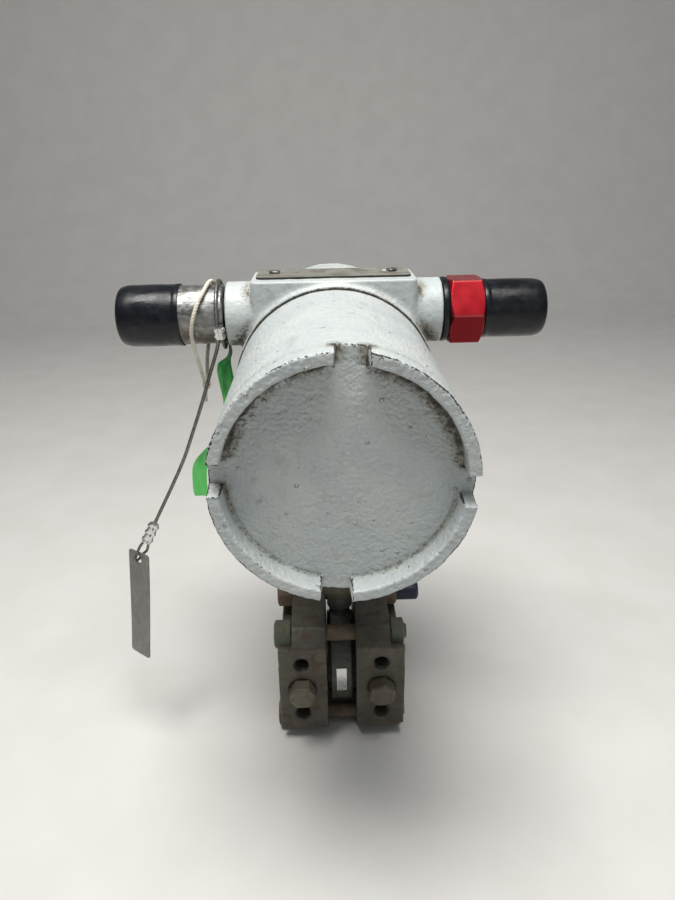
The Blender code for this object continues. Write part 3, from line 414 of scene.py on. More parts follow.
def skin(rings, closed=False):
    """Points and faces over rings of points; a ring whose points coincide becomes a single point."""
    points, rows, faces = [], [], []
    for ring in rings:
        single = np.ptp(ring, axis=0).max() < 1e-6
        kept = ring[:1] if single else ring
        rows.append([len(points) + i for i in range(len(kept))])
        points.extend(kept)
    pairs = list(zip(rows, rows[1:])) + ([(rows[-1], rows[0])] if closed else [])
    count = max(len(row) for row in rows)
    for first, second in pairs:
        for i in range(count):
            j = (i + 1) % count
            face = [first[i % len(first)], first[j % len(first)],
                    second[j % len(second)], second[i % len(second)]]
            face = list(dict.fromkeys(face))
            if len(face) > 2:
                faces.append(tuple(face))
    return np.array(points), faces


def capped(rings):
    """The rings with each end drawn in to its middle."""
    first, last = (np.repeat(ring.mean(0)[None], len(ring), 0) for ring in (rings[0], rings[-1]))
    return [first, *rings, last]


def eased(profile, ease=0.5, step=4.0, closed=False):
    """The profile with each corner rounded off and no straight run longer than the step."""
    points = [np.array(p[:2], float) for p in profile]
    sizes = [p[2] if len(p) > 2 else ease for p in profile]
    out = []
    last = len(points) - 1
    for i, here in enumerate(points):
        if not closed and i in (0, last):
            out.append(here)
            continue
        a, b = points[i - 1] - here, points[(i + 1) % len(points)] - here
        size = min(sizes[i], 0.45 * np.linalg.norm(a), 0.45 * np.linalg.norm(b))
        start, end = here + a / np.linalg.norm(a) * size, here + b / np.linalg.norm(b) * size
        for t in np.linspace(0, 1, 5):
            out.append((1 - t) ** 2 * start + 2 * t * (1 - t) * here + t * t * end)
    dense = []
    ends = out + ([out[0]] if closed else [])
    for p, q in zip(ends, ends[1:]):
        parts = max(1, math.ceil(np.linalg.norm(q - p) / step))
        dense.extend(p + (q - p) * k / parts for k in range(parts))
    if not closed:
        dense.append(out[-1])
    return np.array(dense)


def about(axis, centre, radius, angle, along):
    """Points at these radii and angles about the axis, and this far along it."""
    u, v = radius * np.cos(angle), radius * np.sin(angle)
    along = np.broadcast_to(along, np.shape(u))
    x, y, z = {"X": (along, u, v), "Y": (u, along, v), "Z": (u, v, along)}[axis]
    return np.stack([x + centre[0], y + centre[1], z + centre[2]], axis=-1)


def turned(name, axis, centre, profile, look, body, nodes=(), slot=None, sides=96, shape=None,
           ease=0.5, step=4.0, rough=0.0, marks=None):
    """A turned piece. shape(radius, angle, along) may change the radii, as for a hexagon or a thread."""
    closed = profile[0][0] > 0
    line = eased(profile, ease, step, closed)
    angle = np.arange(sides) * math.tau / sides
    radius = np.repeat(line[:, :1], sides, axis=1)
    along = np.repeat(line[:, 1:], sides, axis=1)
    if shape:
        radius = np.where(radius > 0, shape(radius, angle[None, :], along), 0)
    rings = about(axis, centre, radius, np.broadcast_to(angle, radius.shape), along)
    points, faces = skin(list(rings), closed=closed)
    if rough:
        points = roughened(points, rough)
    if marks:
        marks = {key: worked(points) for key, worked in marks.items()}
    return put(name, points, faces, look, body, nodes, slot, marks=marks)


def roughened(points, amount, size=6.0):
    """The points moved a little by smooth noise, for hand-finished and cast surfaces."""
    moved = np.array([noise.noise_vector(Vector(p) / size) for p in points])
    return points + moved * amount


def hexagon(across, turn, zone, round_off):
    """A shape for turned(): radii no larger than a hexagon's, within a zone along the axis."""
    low, high = zone

    def shape(radius, angle, along):
        flat = across / 2 / np.cos((angle - turn) % (math.pi / 3) - math.pi / 6)
        flat = np.broadcast_to(flat, radius.shape)
        cut = softmin(radius, flat, round_off)
        return np.where((along >= low) & (along <= high) & (radius > across / 2 * 0.8), cut, radius)
    return shape


def threaded(pitch, depth, zone):
    """A shape for turned(): a helical thread cut into the radii within a zone along the axis."""
    low, high = zone

    def shape(radius, angle, along):
        phase = (along / pitch - angle / math.tau) % 1
        wave = np.abs(2 * phase - 1)
        fade = np.clip(np.minimum(along - low, high - along) / pitch, 0, 1)
        return radius - depth * wave * fade
    return shape


def split_at(limit, below, above):
    """A shape for turned(): one shape up to this place along the axis, and another after it."""
    def shape(radius, angle, along):
        return np.where(along < limit, below(radius, angle, along), above(radius, angle, along))
    return shape


def softmin(a, b, k):
    h = np.clip(0.5 + 0.5 * (b - a) / k, 0, 1)
    return b * (1 - h) + a * h - k * h * (1 - h)


def softmax(a, b, k):
    return -softmin(-a, -b, k)


# ---------------------------------------------------------------- distance fields


def outside(a, b):
    return np.hypot(np.maximum(a, 0), np.maximum(b, 0)) + np.minimum(np.maximum(a, b), 0)


def rod(p, axis, centre, radius, start, end, ease=0.0):
    """Distance from a rounded cylinder. start and end are measured along the axis from the centre."""
    k = "XYZ".index(axis)
    u, v = [i for i in range(3) if i != k]
    radial = np.hypot(p[u] - centre[u], p[v] - centre[v]) - radius + ease
    along = np.abs(p[k] - centre[k] - (start + end) / 2) - abs(end - start) / 2 + ease
    return outside(radial, along) - ease


def block(p, low, high, ease=0.0, corner=0.0):
    """Distance from a rounded box; corner also rounds its upright edges."""
    q = [np.abs(p[k] - (low[k] + high[k]) / 2) - (high[k] - low[k]) / 2 + ease for k in range(3)]
    flat = outside(q[0] + corner, q[1] + corner) - corner
    return outside(flat, q[2]) - ease


merge = softmin


def carve(a, b, k=0.5):
    return -softmin(-a, b, k)


def cast(name, field, low, high, cell, look, body, nodes, slot, rough=0.1, shelter=3.5):
    """The closed surface where the field is zero, found on a grid and moved on to the surface itself."""
    low, cell = np.array(low, float), cell * COARSE
    counts = np.ceil((np.array(high) - low) / cell).astype(int) + 1
    axes = [(low[k] + cell * np.arange(counts[k])).astype(np.float32) for k in range(3)]
    values = field(list(np.meshgrid(*axes, indexing="ij")))
    inside = values < 0
    n = counts - 1
    total = sum(
        inside[i : i + n[0], j : j + n[1], k : k + n[2]].astype(np.int8)
        for i in (0, 1) for j in (0, 1) for k in (0, 1)
    )
    where = np.argwhere((total > 0) & (total < 8))
    index = np.full(n, -1)
    index[tuple(where.T)] = np.arange(len(where))
    sums, hits = np.zeros((len(where), 3)), np.zeros(len(where))
    for k in range(3):
        others = [i for i in range(3) if i != k]
        for i in (0, 1):
            for j in (0, 1):
                corner = where.copy()
                corner[:, others[0]] += i
                corner[:, others[1]] += j
                far = corner.copy()
                far[:, k] += 1
                a, b = values[tuple(corner.T)], values[tuple(far.T)]
                crossed = (a < 0) != (b < 0)
                share = np.where(crossed, a / np.where(crossed, a - b, 1), 0)
                spot = corner.astype(float)
                spot[:, k] += share
                sums += spot * crossed[:, None]
                hits += crossed
    points = low + cell * sums / hits[:, None]
    faces = []
    for k in range(3):
        u, v = (k + 1) % 3, (k + 2) % 3
        near = [slice(None)] * 3
        next_ = [slice(None)] * 3
        near[k], next_[k] = slice(0, -1), slice(1, None)
        start = np.argwhere(inside[tuple(near)] != inside[tuple(next_)])
        ok = (start[:, u] > 0) & (start[:, v] > 0) & (start[:, u] < n[u]) & (start[:, v] < n[v])
        start = start[ok]
        turned_over = inside[tuple(near)][tuple(start.T)]
        quad = []
        for i, j in ((-1, -1), (0, -1), (0, 0), (-1, 0)):
            spot = start.copy()
            spot[:, u] += i
            spot[:, v] += j
            quad.append(index[tuple(spot.T)])
        quad = np.stack(quad, axis=1)
        quad[~turned_over] = quad[~turned_over][:, ::-1]
        faces.append(quad)
    faces = np.concatenate(faces)
    points, normals = settled(field, points, 2)
    marks = weathered(field, points, normals, shelter)
    if rough:
        wave = np.array([noise.noise(Vector(p) / 5) + 0.4 * noise.noise(Vector(p) / 1.8) for p in points])
        points = points + normals * wave[:, None] * rough
    return put(name, points, faces.tolist(), look, body, nodes, slot, 60, marks)


def gradient(field, points):
    """The field and its unit gradient at these points."""
    here = field(list(points.T))
    slope = []
    for k in range(3):
        moved = points.copy()
        moved[:, k] += 0.05
        slope.append((field(list(moved.T)) - here) / 0.05)
    slope = np.stack(slope, axis=1)
    return here, slope / np.maximum(np.linalg.norm(slope, axis=1, keepdims=True), 1e-6)


def settled(field, points, times):
    for _ in range(times):
        here, normal = gradient(field, points)
        points = points - np.clip(here, -0.4, 0.4)[:, None] * normal
    return points, gradient(field, points)[1]


def weathered(field, points, normals, far):
    """How exposed (edge) and how sheltered (hollow) each point is, from 0 to 1."""
    near = 1.3
    edge = (near + field(list((points - normals * near).T))) / near
    hollow = (far - field(list((points + normals * far).T))) / far
    return {"edge": np.clip(edge, 0, 1), "hollow": np.clip(hollow, 0, 1)}


# ---------------------------------------------------------------- lines


def route(stops, spacing=1.0):
    """Evenly spaced points on a Catmull-Rom curve through the stops."""
    stops = [np.array(p, float) for p in stops]
    padded = [2 * stops[0] - stops[1], *stops, 2 * stops[-1] - stops[-2]]
    fine = []
    for a, b, c, d in zip(padded, padded[1:], padded[2:], padded[3:]):
        for t in np.arange(24) / 24:
            square, cube = 2 * a - 5 * b + 4 * c - d, 3 * b - a - 3 * c + d
            fine.append(0.5 * (2 * b + (c - a) * t + square * t**2 + cube * t**3))
    fine.append(stops[-1])
    fine = np.array(fine)
    along = np.concatenate([[0], np.cumsum(np.linalg.norm(np.diff(fine, axis=0), axis=1))])
    at = np.linspace(0, along[-1], max(2, round(along[-1] / spacing)) + 1)
    return np.stack([np.interp(at, along, fine[:, k]) for k in range(3)], axis=1)


def sections(path):
    """A pair of crosswise directions at each point of the path, carried along without twist."""
    ahead = np.gradient(path, axis=0)
    ahead /= np.linalg.norm(ahead, axis=1, keepdims=True)
    across = np.cross(ahead[0], [0.31, 0.2, 0.93])
    out = []
    for direction in ahead:
        across = across - direction * across.dot(direction)
        across = across / np.linalg.norm(across)
        out.append((across, np.cross(direction, across)))
    return out


def rope(name, path, radius, look, body, strands, lay, sides, depth=0.22, **kept):
    """A laid rope along the path: its section has a lobe for each strand and turns as it goes."""
    angle = np.arange(sides) * math.tau / sides
    rings = []
    travelled = 0.0
    for i, (point, (a, b)) in enumerate(zip(path, sections(path))):
        if i:
            travelled += np.linalg.norm(point - path[i - 1])
        phase = strands / 2 * (angle - math.tau * travelled / lay)
        size = radius * (1 - depth + depth * np.abs(np.sin(phase)) ** 0.6)
        rings.append(point + np.outer(np.cos(angle) * size, a) + np.outer(np.sin(angle) * size, b))
    rings = [np.repeat(path[:1], sides, axis=0), *rings, np.repeat(path[-1:], sides, axis=0)]
    points, faces = skin(rings)
    return put(name, points, faces, look, body, **kept)


# ---------------------------------------------------------------- covers and housing

COVER_R = 57.0
RIM_INNER = 51.4
FRONT_END, FRONT_MOUTH = -115.0, 14.0
REAR_END, REAR_MOUTH = 115.0, 71.5
FRONT_TURN, REAR_TURN = math.radians(4.2), math.radians(49.2)
TOP_Y = 41.5  # the line of the top screws
NOTCH_HALF = 6.7
RIM = 11.0


def cover_marks(points, end_y, open_y, turn):
    """How close each point of a cover is to an exposed edge and to a sheltered corner, from 0 to 1; the sheltered
    value also carries painted shade, stronger in the upper half, on the rim wall and at the joint line.
    """
    way = 1 if open_y > end_y else -1
    depth = (points[:, 1] - end_y) * way
    x, z = points[:, 0], points[:, 2] - AXIS_Z
    radial, angle = np.hypot(x, z), np.arctan2(z, x)
    local = (angle + turn + math.pi / 4) % (math.pi / 2) - math.pi / 4
    beside = np.abs(radial * np.sin(local)) - NOTCH_HALF
    on_rim, in_notch = beside > -0.6, beside < 0.6
    far = 99.0
    outer = np.where(on_rim, np.hypot(radial - COVER_R, depth), far)
    inner = np.where(on_rim, np.hypot(radial - RIM_INNER, depth) + 0.35, far)
    upright = np.minimum(np.hypot(beside, radial - COVER_R), np.hypot(beside, radial - RIM_INNER))
    upright = np.where(depth < RIM, upright, far)
    top = np.where(radial > 51, np.hypot(beside, depth), far)
    sill = np.where(in_notch, np.hypot(radial - COVER_R, depth - RIM), far)
    mouth = np.hypot(radial - COVER_R, points[:, 1] - open_y) + 0.3
    edge = np.clip(1 - np.minimum.reduce([outer, inner, upright, top, sill, mouth]) / 1.7, 0, 1)
    foot = np.where(on_rim, np.hypot(radial - 51.1, depth - RIM), far)
    side = np.where(radial > 49, np.hypot(beside, depth - RIM), far)
    # Painted shade: the dark band at the foot of the rim is wider and stronger in the upper half, where the rim
    # shades the face.
    upper = np.clip(0.5 + z / 36, 0, 1)
    hollow = np.clip(1 - np.minimum(foot, side + 1.5) / (2.6 + 4.9 * upper), 0, 1) * (0.72 + 0.28 * upper)
    # Painted shade: a dark joint line round the outer wall at the cover's open end.
    lip = np.abs(points[:, 1] - open_y)
    hollow = np.maximum(hollow, np.where(radial > 55, np.clip(1.6 - lip / 0.9, 0, 1), 0))
    wall = (radial < 52) & (depth > 1) & (depth < RIM) & on_rim
    # Painted shade and grime on the rim's inner wall, darker towards the top.
    wall_shade_and_grime = np.maximum(hollow * (0.6 + 0.4 * upper), 0.3 * upper)
    return {"edge": edge, "hollow": np.where(wall, wall_shade_and_grime, hollow)}


def evenly(line, count):
    along = np.concatenate([[0], np.cumsum(np.linalg.norm(np.diff(line, axis=0), axis=1))])
    at = np.linspace(0, along[-1], count)
    return np.stack([np.interp(at, along, line[:, k]) for k in range(2)], axis=1)


def cover(name, node, end_y, open_y, turn, look):
    """A screw cover: pebbled face inside a raised rim with four notches, and a wider plain bore inside its open
    end.
    """
    way = 1 if open_y > end_y else -1
    length = abs(open_y - end_y)
    face = np.stack([np.linspace(0, 48.6, 62), np.full(62, RIM)], axis=1)
    tall = eased([(48.6, RIM), (51.1, RIM, 1.7), (51.5, 0, 1.1), (COVER_R, 0, 1.2), (COVER_R, 14)], step=0.4)
    low = eased([(48.6, RIM), (COVER_R, RIM, 1.1), (COVER_R, 14)], step=0.4)
    side = np.stack([np.full(40, COVER_R), np.linspace(14, length - 0.6, 40)], axis=1)
    thread = length - 24
    inside = eased(
        [(COVER_R, length - 0.6), (COVER_R, length, 0.5), (51.9, length, 0.6), (51.9, thread), (50.5, thread),
         (50.5, 18, 2), (0, 18)], step=2.5,
    )
    base = np.linspace(0, math.tau, 480 // COARSE, endpoint=False)
    edges = []
    for quarter in range(4):
        for sign in (-1, 1):
            middle = quarter * math.pi / 2 - turn + sign * math.asin(NOTCH_HALF / 54)
            edges.append(middle + np.linspace(-1.3, 1.3, 27) / 54)
    angle = np.unique(np.round(np.concatenate([base, *edges]) % math.tau, 5))
    local = (angle + turn + math.pi / 4) % (math.pi / 2) - math.pi / 4
    count = 96
    tall, low = evenly(tall, count), evenly(low, count)
    reach = np.abs(tall[:, :1] * np.sin(local)[None, :])
    t = np.clip((NOTCH_HALF + 0.55 - reach) / 1.1, 0, 1)
    mask = (t * t * (3 - 2 * t))[:, :, None]
    middle = tall[:, None, :] * (1 - mask) + low[:, None, :] * mask
    rows = [np.repeat(part[:, None, :], len(angle), axis=1) for part in (face[:-1], side[1:], inside[1:])]
    grid = np.concatenate([rows[0], middle, rows[1], rows[2]], axis=0)
    spread = np.broadcast_to(angle, grid.shape[:2])
    rings = about("Y", HOUSING, grid[:, :, 0], spread, end_y + way * grid[:, :, 1])
    points, faces = skin(list(rings))
    normals = vertex_normals(points, faces)
    marks = cover_marks(points, end_y, open_y, turn)
    depth = (points[:, 1] - end_y) * way
    outer = (depth < length - 2) & ~((np.hypot(points[:, 0], points[:, 2] - AXIS_Z) < 52.5) & (depth > 14))
    wave = np.array([
        0.16 * noise.noise(Vector(p) / 9) + 0.12 * noise.noise(Vector(p) / 2.4) for p in points
    ])
    rim = np.clip(1 - np.abs(depth - 1) / 6, 0, 1)
    wave = wave * (1 + 0.9 * rim)
    points = points + normals * np.where(outer, wave, 0)[:, None]
    return put(name, points, faces, look, node, node, "painted_casting", 50, marks)


def vertex_normals(points, faces):
    """Outward unit normals at the points, by area."""
    total = np.zeros_like(points)
    for size in (3, 4):
        some = np.array([f for f in faces if len(f) == size])
        if not len(some):
            continue
        diagonal = points[some[:, 2]] - points[some[:, 0]]
        normal = np.cross(diagonal, points[some[:, size - 1]] - points[some[:, 1]])
        for k in range(size):
            np.add.at(total, some[:, k], normal)
    total /= np.maximum(np.linalg.norm(total, axis=1, keepdims=True), 1e-9)
    corners = np.array([f[:3] for f in faces])
    a, b, c = (points[corners[:, k]] for k in range(3))
    return total if np.einsum("ij,ij->i", a, np.cross(b, c)).sum() > 0 else -total


def housing_field(p):
    body = rod(p, "Y", HOUSING, 58.5, 15.5, 70, 1.1)
    body = merge(body, block(p, (-46.8, 18, 275), (46.8, 58.2, 316.5), 0.9, 3.2), 4.0)
    boss = np.minimum(rod(p, "X", CONDUIT, 18.5, -62, -36, 1.0), rod(p, "X", CONDUIT, 18.5, 36, 62, 1.0))
    body = merge(body, boss, 2.2)
    neck = (0, NECK_Y, 0)
    body = merge(body, rod(p, "Z", neck, 24, 168, 206, 1.4), 7.0)
    body = np.minimum(body, rod(p, "Y", HOUSING, 50.4, -6.5, 92, 0.5))
    for start, end in ((-9, 20.5), (26, 95)):
        body = carve(body, rod(p, "Y", HOUSING, 45, start, end, 1.5))
    for start, end in ((-67, -20), (20, 67)):
        body = carve(body, rod(p, "X", CONDUIT, 10.2, start, end))
    body = carve(body, rod(p, "Z", neck, 15.4, 160, 216))
    for x, radius in ((-34, 2.4), (34, 2.4), (-14, 3.5), (14, 3.5)):
        body = carve(body, rod(p, "Z", (x, TOP_Y, 0), radius, 304, 325), 0.3)
    body = carve(body, rod(p, "Y", (-18, 0, 227.5), 6.4, 12, 34), 0.3)
    body = carve(body, rod(p, "Y", (24, 0, 227.5), 2.3, 23, 34), 0.3)
    return carve(body, rod(p, "Y", (0, NECK_Y, 180), 2.9, 12, 30), 0.3)


def darken_shoulders(body):
    """Painted shade in the narrow gap between the casting's shoulders and the covers."""
    points = np.empty(3 * len(body.data.vertices), np.float32)
    body.data.vertices.foreach_get("co", points)
    x, y, z = points.reshape(-1, 3).T / MM
    layer = body.data.attributes["hollow"]
    hollow = np.empty(len(x), np.float32)
    layer.data.foreach_get("value", hollow)
    near = np.minimum(np.abs(y - 15.4), np.abs(y - 70.1))
    ring = np.hypot(x, z - AXIS_Z)
    # Painted shade: the shoulder faces next to the covers are marked fully hollow, so they render dark.
    shade = np.clip(1.4 - near / 0.9, 0, 1) * np.clip((58.3 - ring) / 0.6, 0, 1)
    layer.data.foreach_set("value", np.maximum(hollow, shade).astype(np.float32))


def make_housing(looks):
    body = cast("housing_casting", housing_field, (-63.5, -8, 166.5), (63.5, 93.5, 318), 0.8, looks["paint"],
                "housing", "housing", "painted_casting", rough=0.13, shelter=8.0)
    darken_shoulders(body)
    for name, start, end in (("front_thread", -6.0, 15.0), ("rear_thread", 70.5, 91.5)):
        profile = [(49.6, start), (51.4, start, 0.8), (51.4, end, 0.3), (49.6, end)]
        turned(name, "Y", HOUSING, profile, looks["bare"], "housing", slot="painted_casting", sides=180,
               shape=threaded(2.117, 0.9, (start + 0.5, end - 1.5)), step=0.5)
    cover("front_cover_shell", "front_cover", FRONT_END, FRONT_MOUTH, FRONT_TURN, looks["face"])
    cover("rear_cover_shell", "rear_cover", REAR_END, REAR_MOUTH, REAR_TURN, looks["face"])
    for name, low, body in (("front_seal", 14.3, "front_seal_ring"), ("rear_seal", 70.3, "rear_seal_ring")):
        profile = [(51.9, low), (56.7, low), (56.7, low + 0.9), (51.9, low + 0.9)]
        turned(name + "_ring", "Y", HOUSING, profile, looks["rubber"], body, name, "black_rubber",
               sides=144, ease=0.4)


def make_top(looks):
    """The blank plate on the block, its two screws, and the adjusting screws under it."""
    bottom, top = 316.8, 317.8
    outline = plate_outline(88, 29, 3.0, (0, TOP_Y))
    flat_piece("blank_plate", outline, bottom, top, looks["plate"], "nameplate", "nameplate", "stainless",
               holes=[(-34, TOP_Y, 2.5, None), (34, TOP_Y, 2.5, (5.0, 2.4))])
    for name, x in (("plate_pivot_screw", -34), ("plate_clamp_screw", 34)):
        seat = top + 0.3
        crown = seat + 1.2
        profile = [(0, 306), (2, 306, 0.3), (2, seat, 0.2), (3.3, seat, 0.3), (3.3, crown, 0.5), (0, crown)]
        screw = turned(name + "_head", "Z", (x, TOP_Y, 0), profile, looks["dark_zinc"], "housing", name,
                       "zinc_plate", sides=48, step=1)
        slot_cut(screw, (x, TOP_Y, crown), (5, 0.5, 0.6), 0.5)
    for name, x in (("zero_screw", -14), ("span_screw", 14)):
        profile = [(0, 304), (3.1, 304, 0.3), (3.1, 315, 0.5), (0, 315)]
        screw = turned(name + "_body", "Z", (x, TOP_Y, 0), profile, looks["brass"], name, name, "brass",
                       sides=48, shape=threaded(0.8, 0.3, (305, 314)), step=0.25)
        slot_cut(screw, (x, TOP_Y, 315), (4, 0.5, 1.0), 0.2)


def slot_cut(obj, middle, half, turn):
    """Cuts a driver slot of these half sizes, in millimetres, across an upright screw."""
    corners = np.array([(x, y, z) for x in (-1, 1) for y in (-1, 1) for z in (-1, 1)]) * half
    faces = [(0, 1, 3, 2), (4, 6, 7, 5), (0, 4, 5, 1), (2, 3, 7, 6), (0, 2, 6, 4), (1, 5, 7, 3)]
    mesh = bpy.data.meshes.new("slot_form")
    mesh.from_pydata((corners * MM).tolist(), [], faces)
    mesh.transform(Matrix.Translation(Vector(middle) * MM) @ Matrix.Rotation(turn, 4, "Z"))
    cut_out(obj, linked("slot_form", mesh))


def cut_out(obj, form):
    step = obj.modifiers.new("cut", "BOOLEAN")
    step.operation, step.object, step.solver = "DIFFERENCE", form, "EXACT"
    graph = bpy.context.evaluated_depsgraph_get()
    made = bpy.data.meshes.new_from_object(obj.evaluated_get(graph))
    obj.modifiers.clear()
    obj.data = made
    made.shade_smooth()
    made.set_sharp_from_angle(angle=math.radians(35))
    bpy.data.objects.remove(form)


def plate_outline(width, height, radius, centre):
    points = []
    for corner, (sx, sy) in enumerate(((1, 1), (-1, 1), (-1, -1), (1, -1))):
        for i in range(7):
            angle = math.pi / 2 * (corner + i / 6)
            points.append((centre[0] + sx * (width / 2 - radius) + radius * math.cos(angle),
                           centre[1] + sy * (height / 2 - radius) + radius * math.sin(angle)))
    return points


def flat_piece(name, outline, bottom, top, look, body, nodes, slot, holes):
    """A flat plate; a hole may run out to the rear as a slot."""
    count = len(outline)
    points = [(x, y, z) for z in (bottom, top) for x, y in outline]
    faces = [tuple(range(count))[::-1], tuple(range(count, 2 * count))]
    faces += [(i, (i + 1) % count, count + (i + 1) % count, count + i) for i in range(count)]
    piece = put(name, points, faces, look, body, nodes, slot)
    for x, y, radius, slot_sides in holes:
        ring = [(x + radius * math.cos(a), y + radius * math.sin(a)) for a in np.arange(28) * math.tau / 28]
        forms = [ring]
        if slot_sides:
            left, right = slot_sides
            forms.append([(x - left, y), (x + right, y), (x + right, y + 60), (x - left, y + 60)])
        for form in forms:
            size = len(form)
            mesh = bpy.data.meshes.new("hole_form")
            ends = [(a * MM, b * MM, z * MM) for z in (bottom - 5, top + 5) for a, b in form]
            sides = [(i, (i + 1) % size, size + (i + 1) % size, size + i) for i in range(size)]
            mesh.from_pydata(ends, [], [tuple(range(size))[::-1], tuple(range(size, 2 * size)), *sides])
            cut_out(piece, linked("hole_form", mesh))


# ---------------------------------------------------------------- conduit fittings


def make_fittings(looks):
    left = [(7, -48), (9.8, -48, 0.8), (9.8, -63.5), (16.2, -63.5, 0.8), (17, -64.6, 0.6), (17, -111.2, 0.6),
            (16.2, -112, 0.4), (8.4, -112, 0.3), (7, -110.6, 0.3)]
    turned("left_coupling_body", "X", CONDUIT, left, looks["zinc"], "housing", "left_coupling", "zinc_plate",
           sides=160, step=0.7, rough=0.10,
           shape=lambda r, a, x: np.where(r > 12, r, threaded(1.814, 0.8, (-63, -48.5))(r, a, x)))
    cap("left_cap_body", "left_cap", -1, 18.2, 17.4, 88.7, 128.2, looks["rubber"])
    washer = [(10.3, 62.3), (18.7, 62.3, 1.0), (18.7, 65.9, 1.0), (10.3, 65.9)]
    turned("right_washer_ring", "X", CONDUIT, washer, looks["rubber"], "housing", "right_washer",
           "black_rubber", sides=128)
    red = [(7, 48), (9.8, 48, 0.8), (9.8, 66.2), (17.6, 66.2, 0.2), (20.9, 68.0, 0.3), (20.9, 84.4, 0.3),
           (17.6, 86, 0.2), (15.3, 86, 0.4), (15.3, 110, 0.6), (8.2, 110, 0.3), (7, 108.8, 0.3)]
    hexed = hexagon(36, 0.0, (66.0, 86.2), 0.35)
    turned("red_adapter_body", "X", CONDUIT, red, looks["red"], "housing", "red_adapter", "red_anodised",
           sides=240, step=0.8, shape=split_at(64, threaded(1.814, 0.8, (48.5, 63)), hexed),
           marks={"edge": lambda p: hex_edges(p, CONDUIT, 36, (66.2, 86))})
    cap("right_cap_body", "right_cap", 1, 17.3, 15.7, 86.3, 126.4, looks["rubber"])


def hex_edges(points, centre, across, zone):
    """How near each point is to an edge of a hexagon along X, from 0 to 1."""
    y, z = points[:, 1] - centre[1], points[:, 2] - centre[2]
    local = np.arctan2(z, y) % (math.pi / 3)
    corner = np.minimum(local, math.pi / 3 - local) * across / 2
    ends = np.minimum(np.abs(points[:, 0] - zone[0]), np.abs(points[:, 0] - zone[1]))
    return np.clip(1 - np.minimum(corner, ends) / 1.2, 0, 1)


def cap(name, node, side, outer, bore, start, end, look):
    """A soft cap: rolled lip, slightly swollen wall, domed end with a moulding pip."""
    def soft(radius, angle, along):
        wall = radius > bore * 0.55
        reach = np.clip((np.abs(along) - start - 6) / 20, 0, 1)
        ripple = 0.13 * np.sin(2 * angle + 0.6) + 0.05 * np.sin(5 * angle + along / 4)
        return np.where(wall, radius + (ripple * reach - 0.19) * wall, radius)

    s, face = side, end - 2.5
    profile = [
        (0, s * (end - 6)), (bore - 3, s * (end - 6), 3), (bore + 0.2, s * (end - 10), 3),
        (bore + 0.2, s * start, 0.3), (outer, s * start, 0.7), (outer, s * (start + 2.2), 0.6),
        (outer - 0.3, s * (start + 3.4), 0.6), (outer - 0.1, s * (start + 18), 6), (outer - 0.35, s * (end - 9), 5),
        (outer - 1.6, s * (end - 4.6), 3.2),
        (outer - 5.2, s * (face - 0.6), 3), (4.5, s * (face - 0.1), 2), (1.9, s * face, 0.5),
        (1.35, s * (face + 1.1), 0.5), (1.1, s * (end - 0.3), 0.4), (0, s * (end - 0.1)),
    ]
    turned(name, "X", CONDUIT, profile, look, node, node, "black_rubber", sides=128, shape=soft, step=1.6)


# ---------------------------------------------------------------- neck, cell and flanges


def make_neck(looks):
    centre = (0, NECK_Y, 0)
    tube = [(9.4, 97), (11.6, 97, 0.8), (14.9, 104, 3), (14.9, 156, 0.2), (14.9, 185.5, 0.2),
            (13.4, 185.5, 0.2), (13.4, 188.5, 0.2), (14.9, 188.5, 0.2), (14.9, 200, 0.8), (11, 200, 0.5), (11, 106), (9.4, 106)]
    turned("neck_tube_body", "Z", centre, tube, looks["forged"], "sensor", "neck_tube", "process_steel",
           sides=96, shape=threaded(1.5, 0.55, (140, 184)), step=0.4)
    nut = [(15.4, 157), (21.5, 157, 0.3), (26.6, 159.2, 0.3), (26.6, 165.4, 0.3), (22, 167.6, 0.3),
           (15.4, 167.6)]
    turned("neck_locknut_body", "Z", centre, nut, looks["forged"], "sensor", "neck_locknut", "process_steel",
           sides=180, shape=hexagon(46, 0.0, (156.5, 168), 0.5), step=0.8)
    ring = [(13.7, 185.9), (15.1, 185.9, 0.5), (15.1, 188.1, 0.5), (13.7, 188.1)]
    turned("neck_seal_ring", "Z", centre, ring, looks["rubber"], "sensor", "neck_seal", "black_rubber",
           sides=96)
    lock = [(0, 15.8), (2.1, 15.8, 0.3), (2.5, 16.4, 0.2), (2.5, 23.1, 0.3), (1.5, 23.5, 0.1),
            (1.35, 20, 0.1), (0, 20)]
    turned("neck_lock_screw_body", "Y", (0, NECK_Y, 180), lock, looks["dark_zinc"], "housing",
           "neck_lock_screw", "zinc_plate", sides=48, step=0.4)


def cell_field(p):
    body = rod(p, "X", CELL, 34, -7.5, 7.5, 1.1)
    for side in (-1, 1):
        land = rod(p, "X", CELL, 29, side * 6, side * 9.4, 0.3)
        body = np.minimum(body, land)
        body = carve(body, rod(p, "X", CELL, 22.5, side * 8.4, side * 12, 0.2), 0.3)
    stem = (0, NECK_Y, 0)
    lower = rod(p, "Z", stem, 6.2, 72, 86, 1)
    upper = rod(p, "Z", stem, 8.9, 85, 103, 1)
    return merge(body, merge(lower, upper, 3), 2.2)


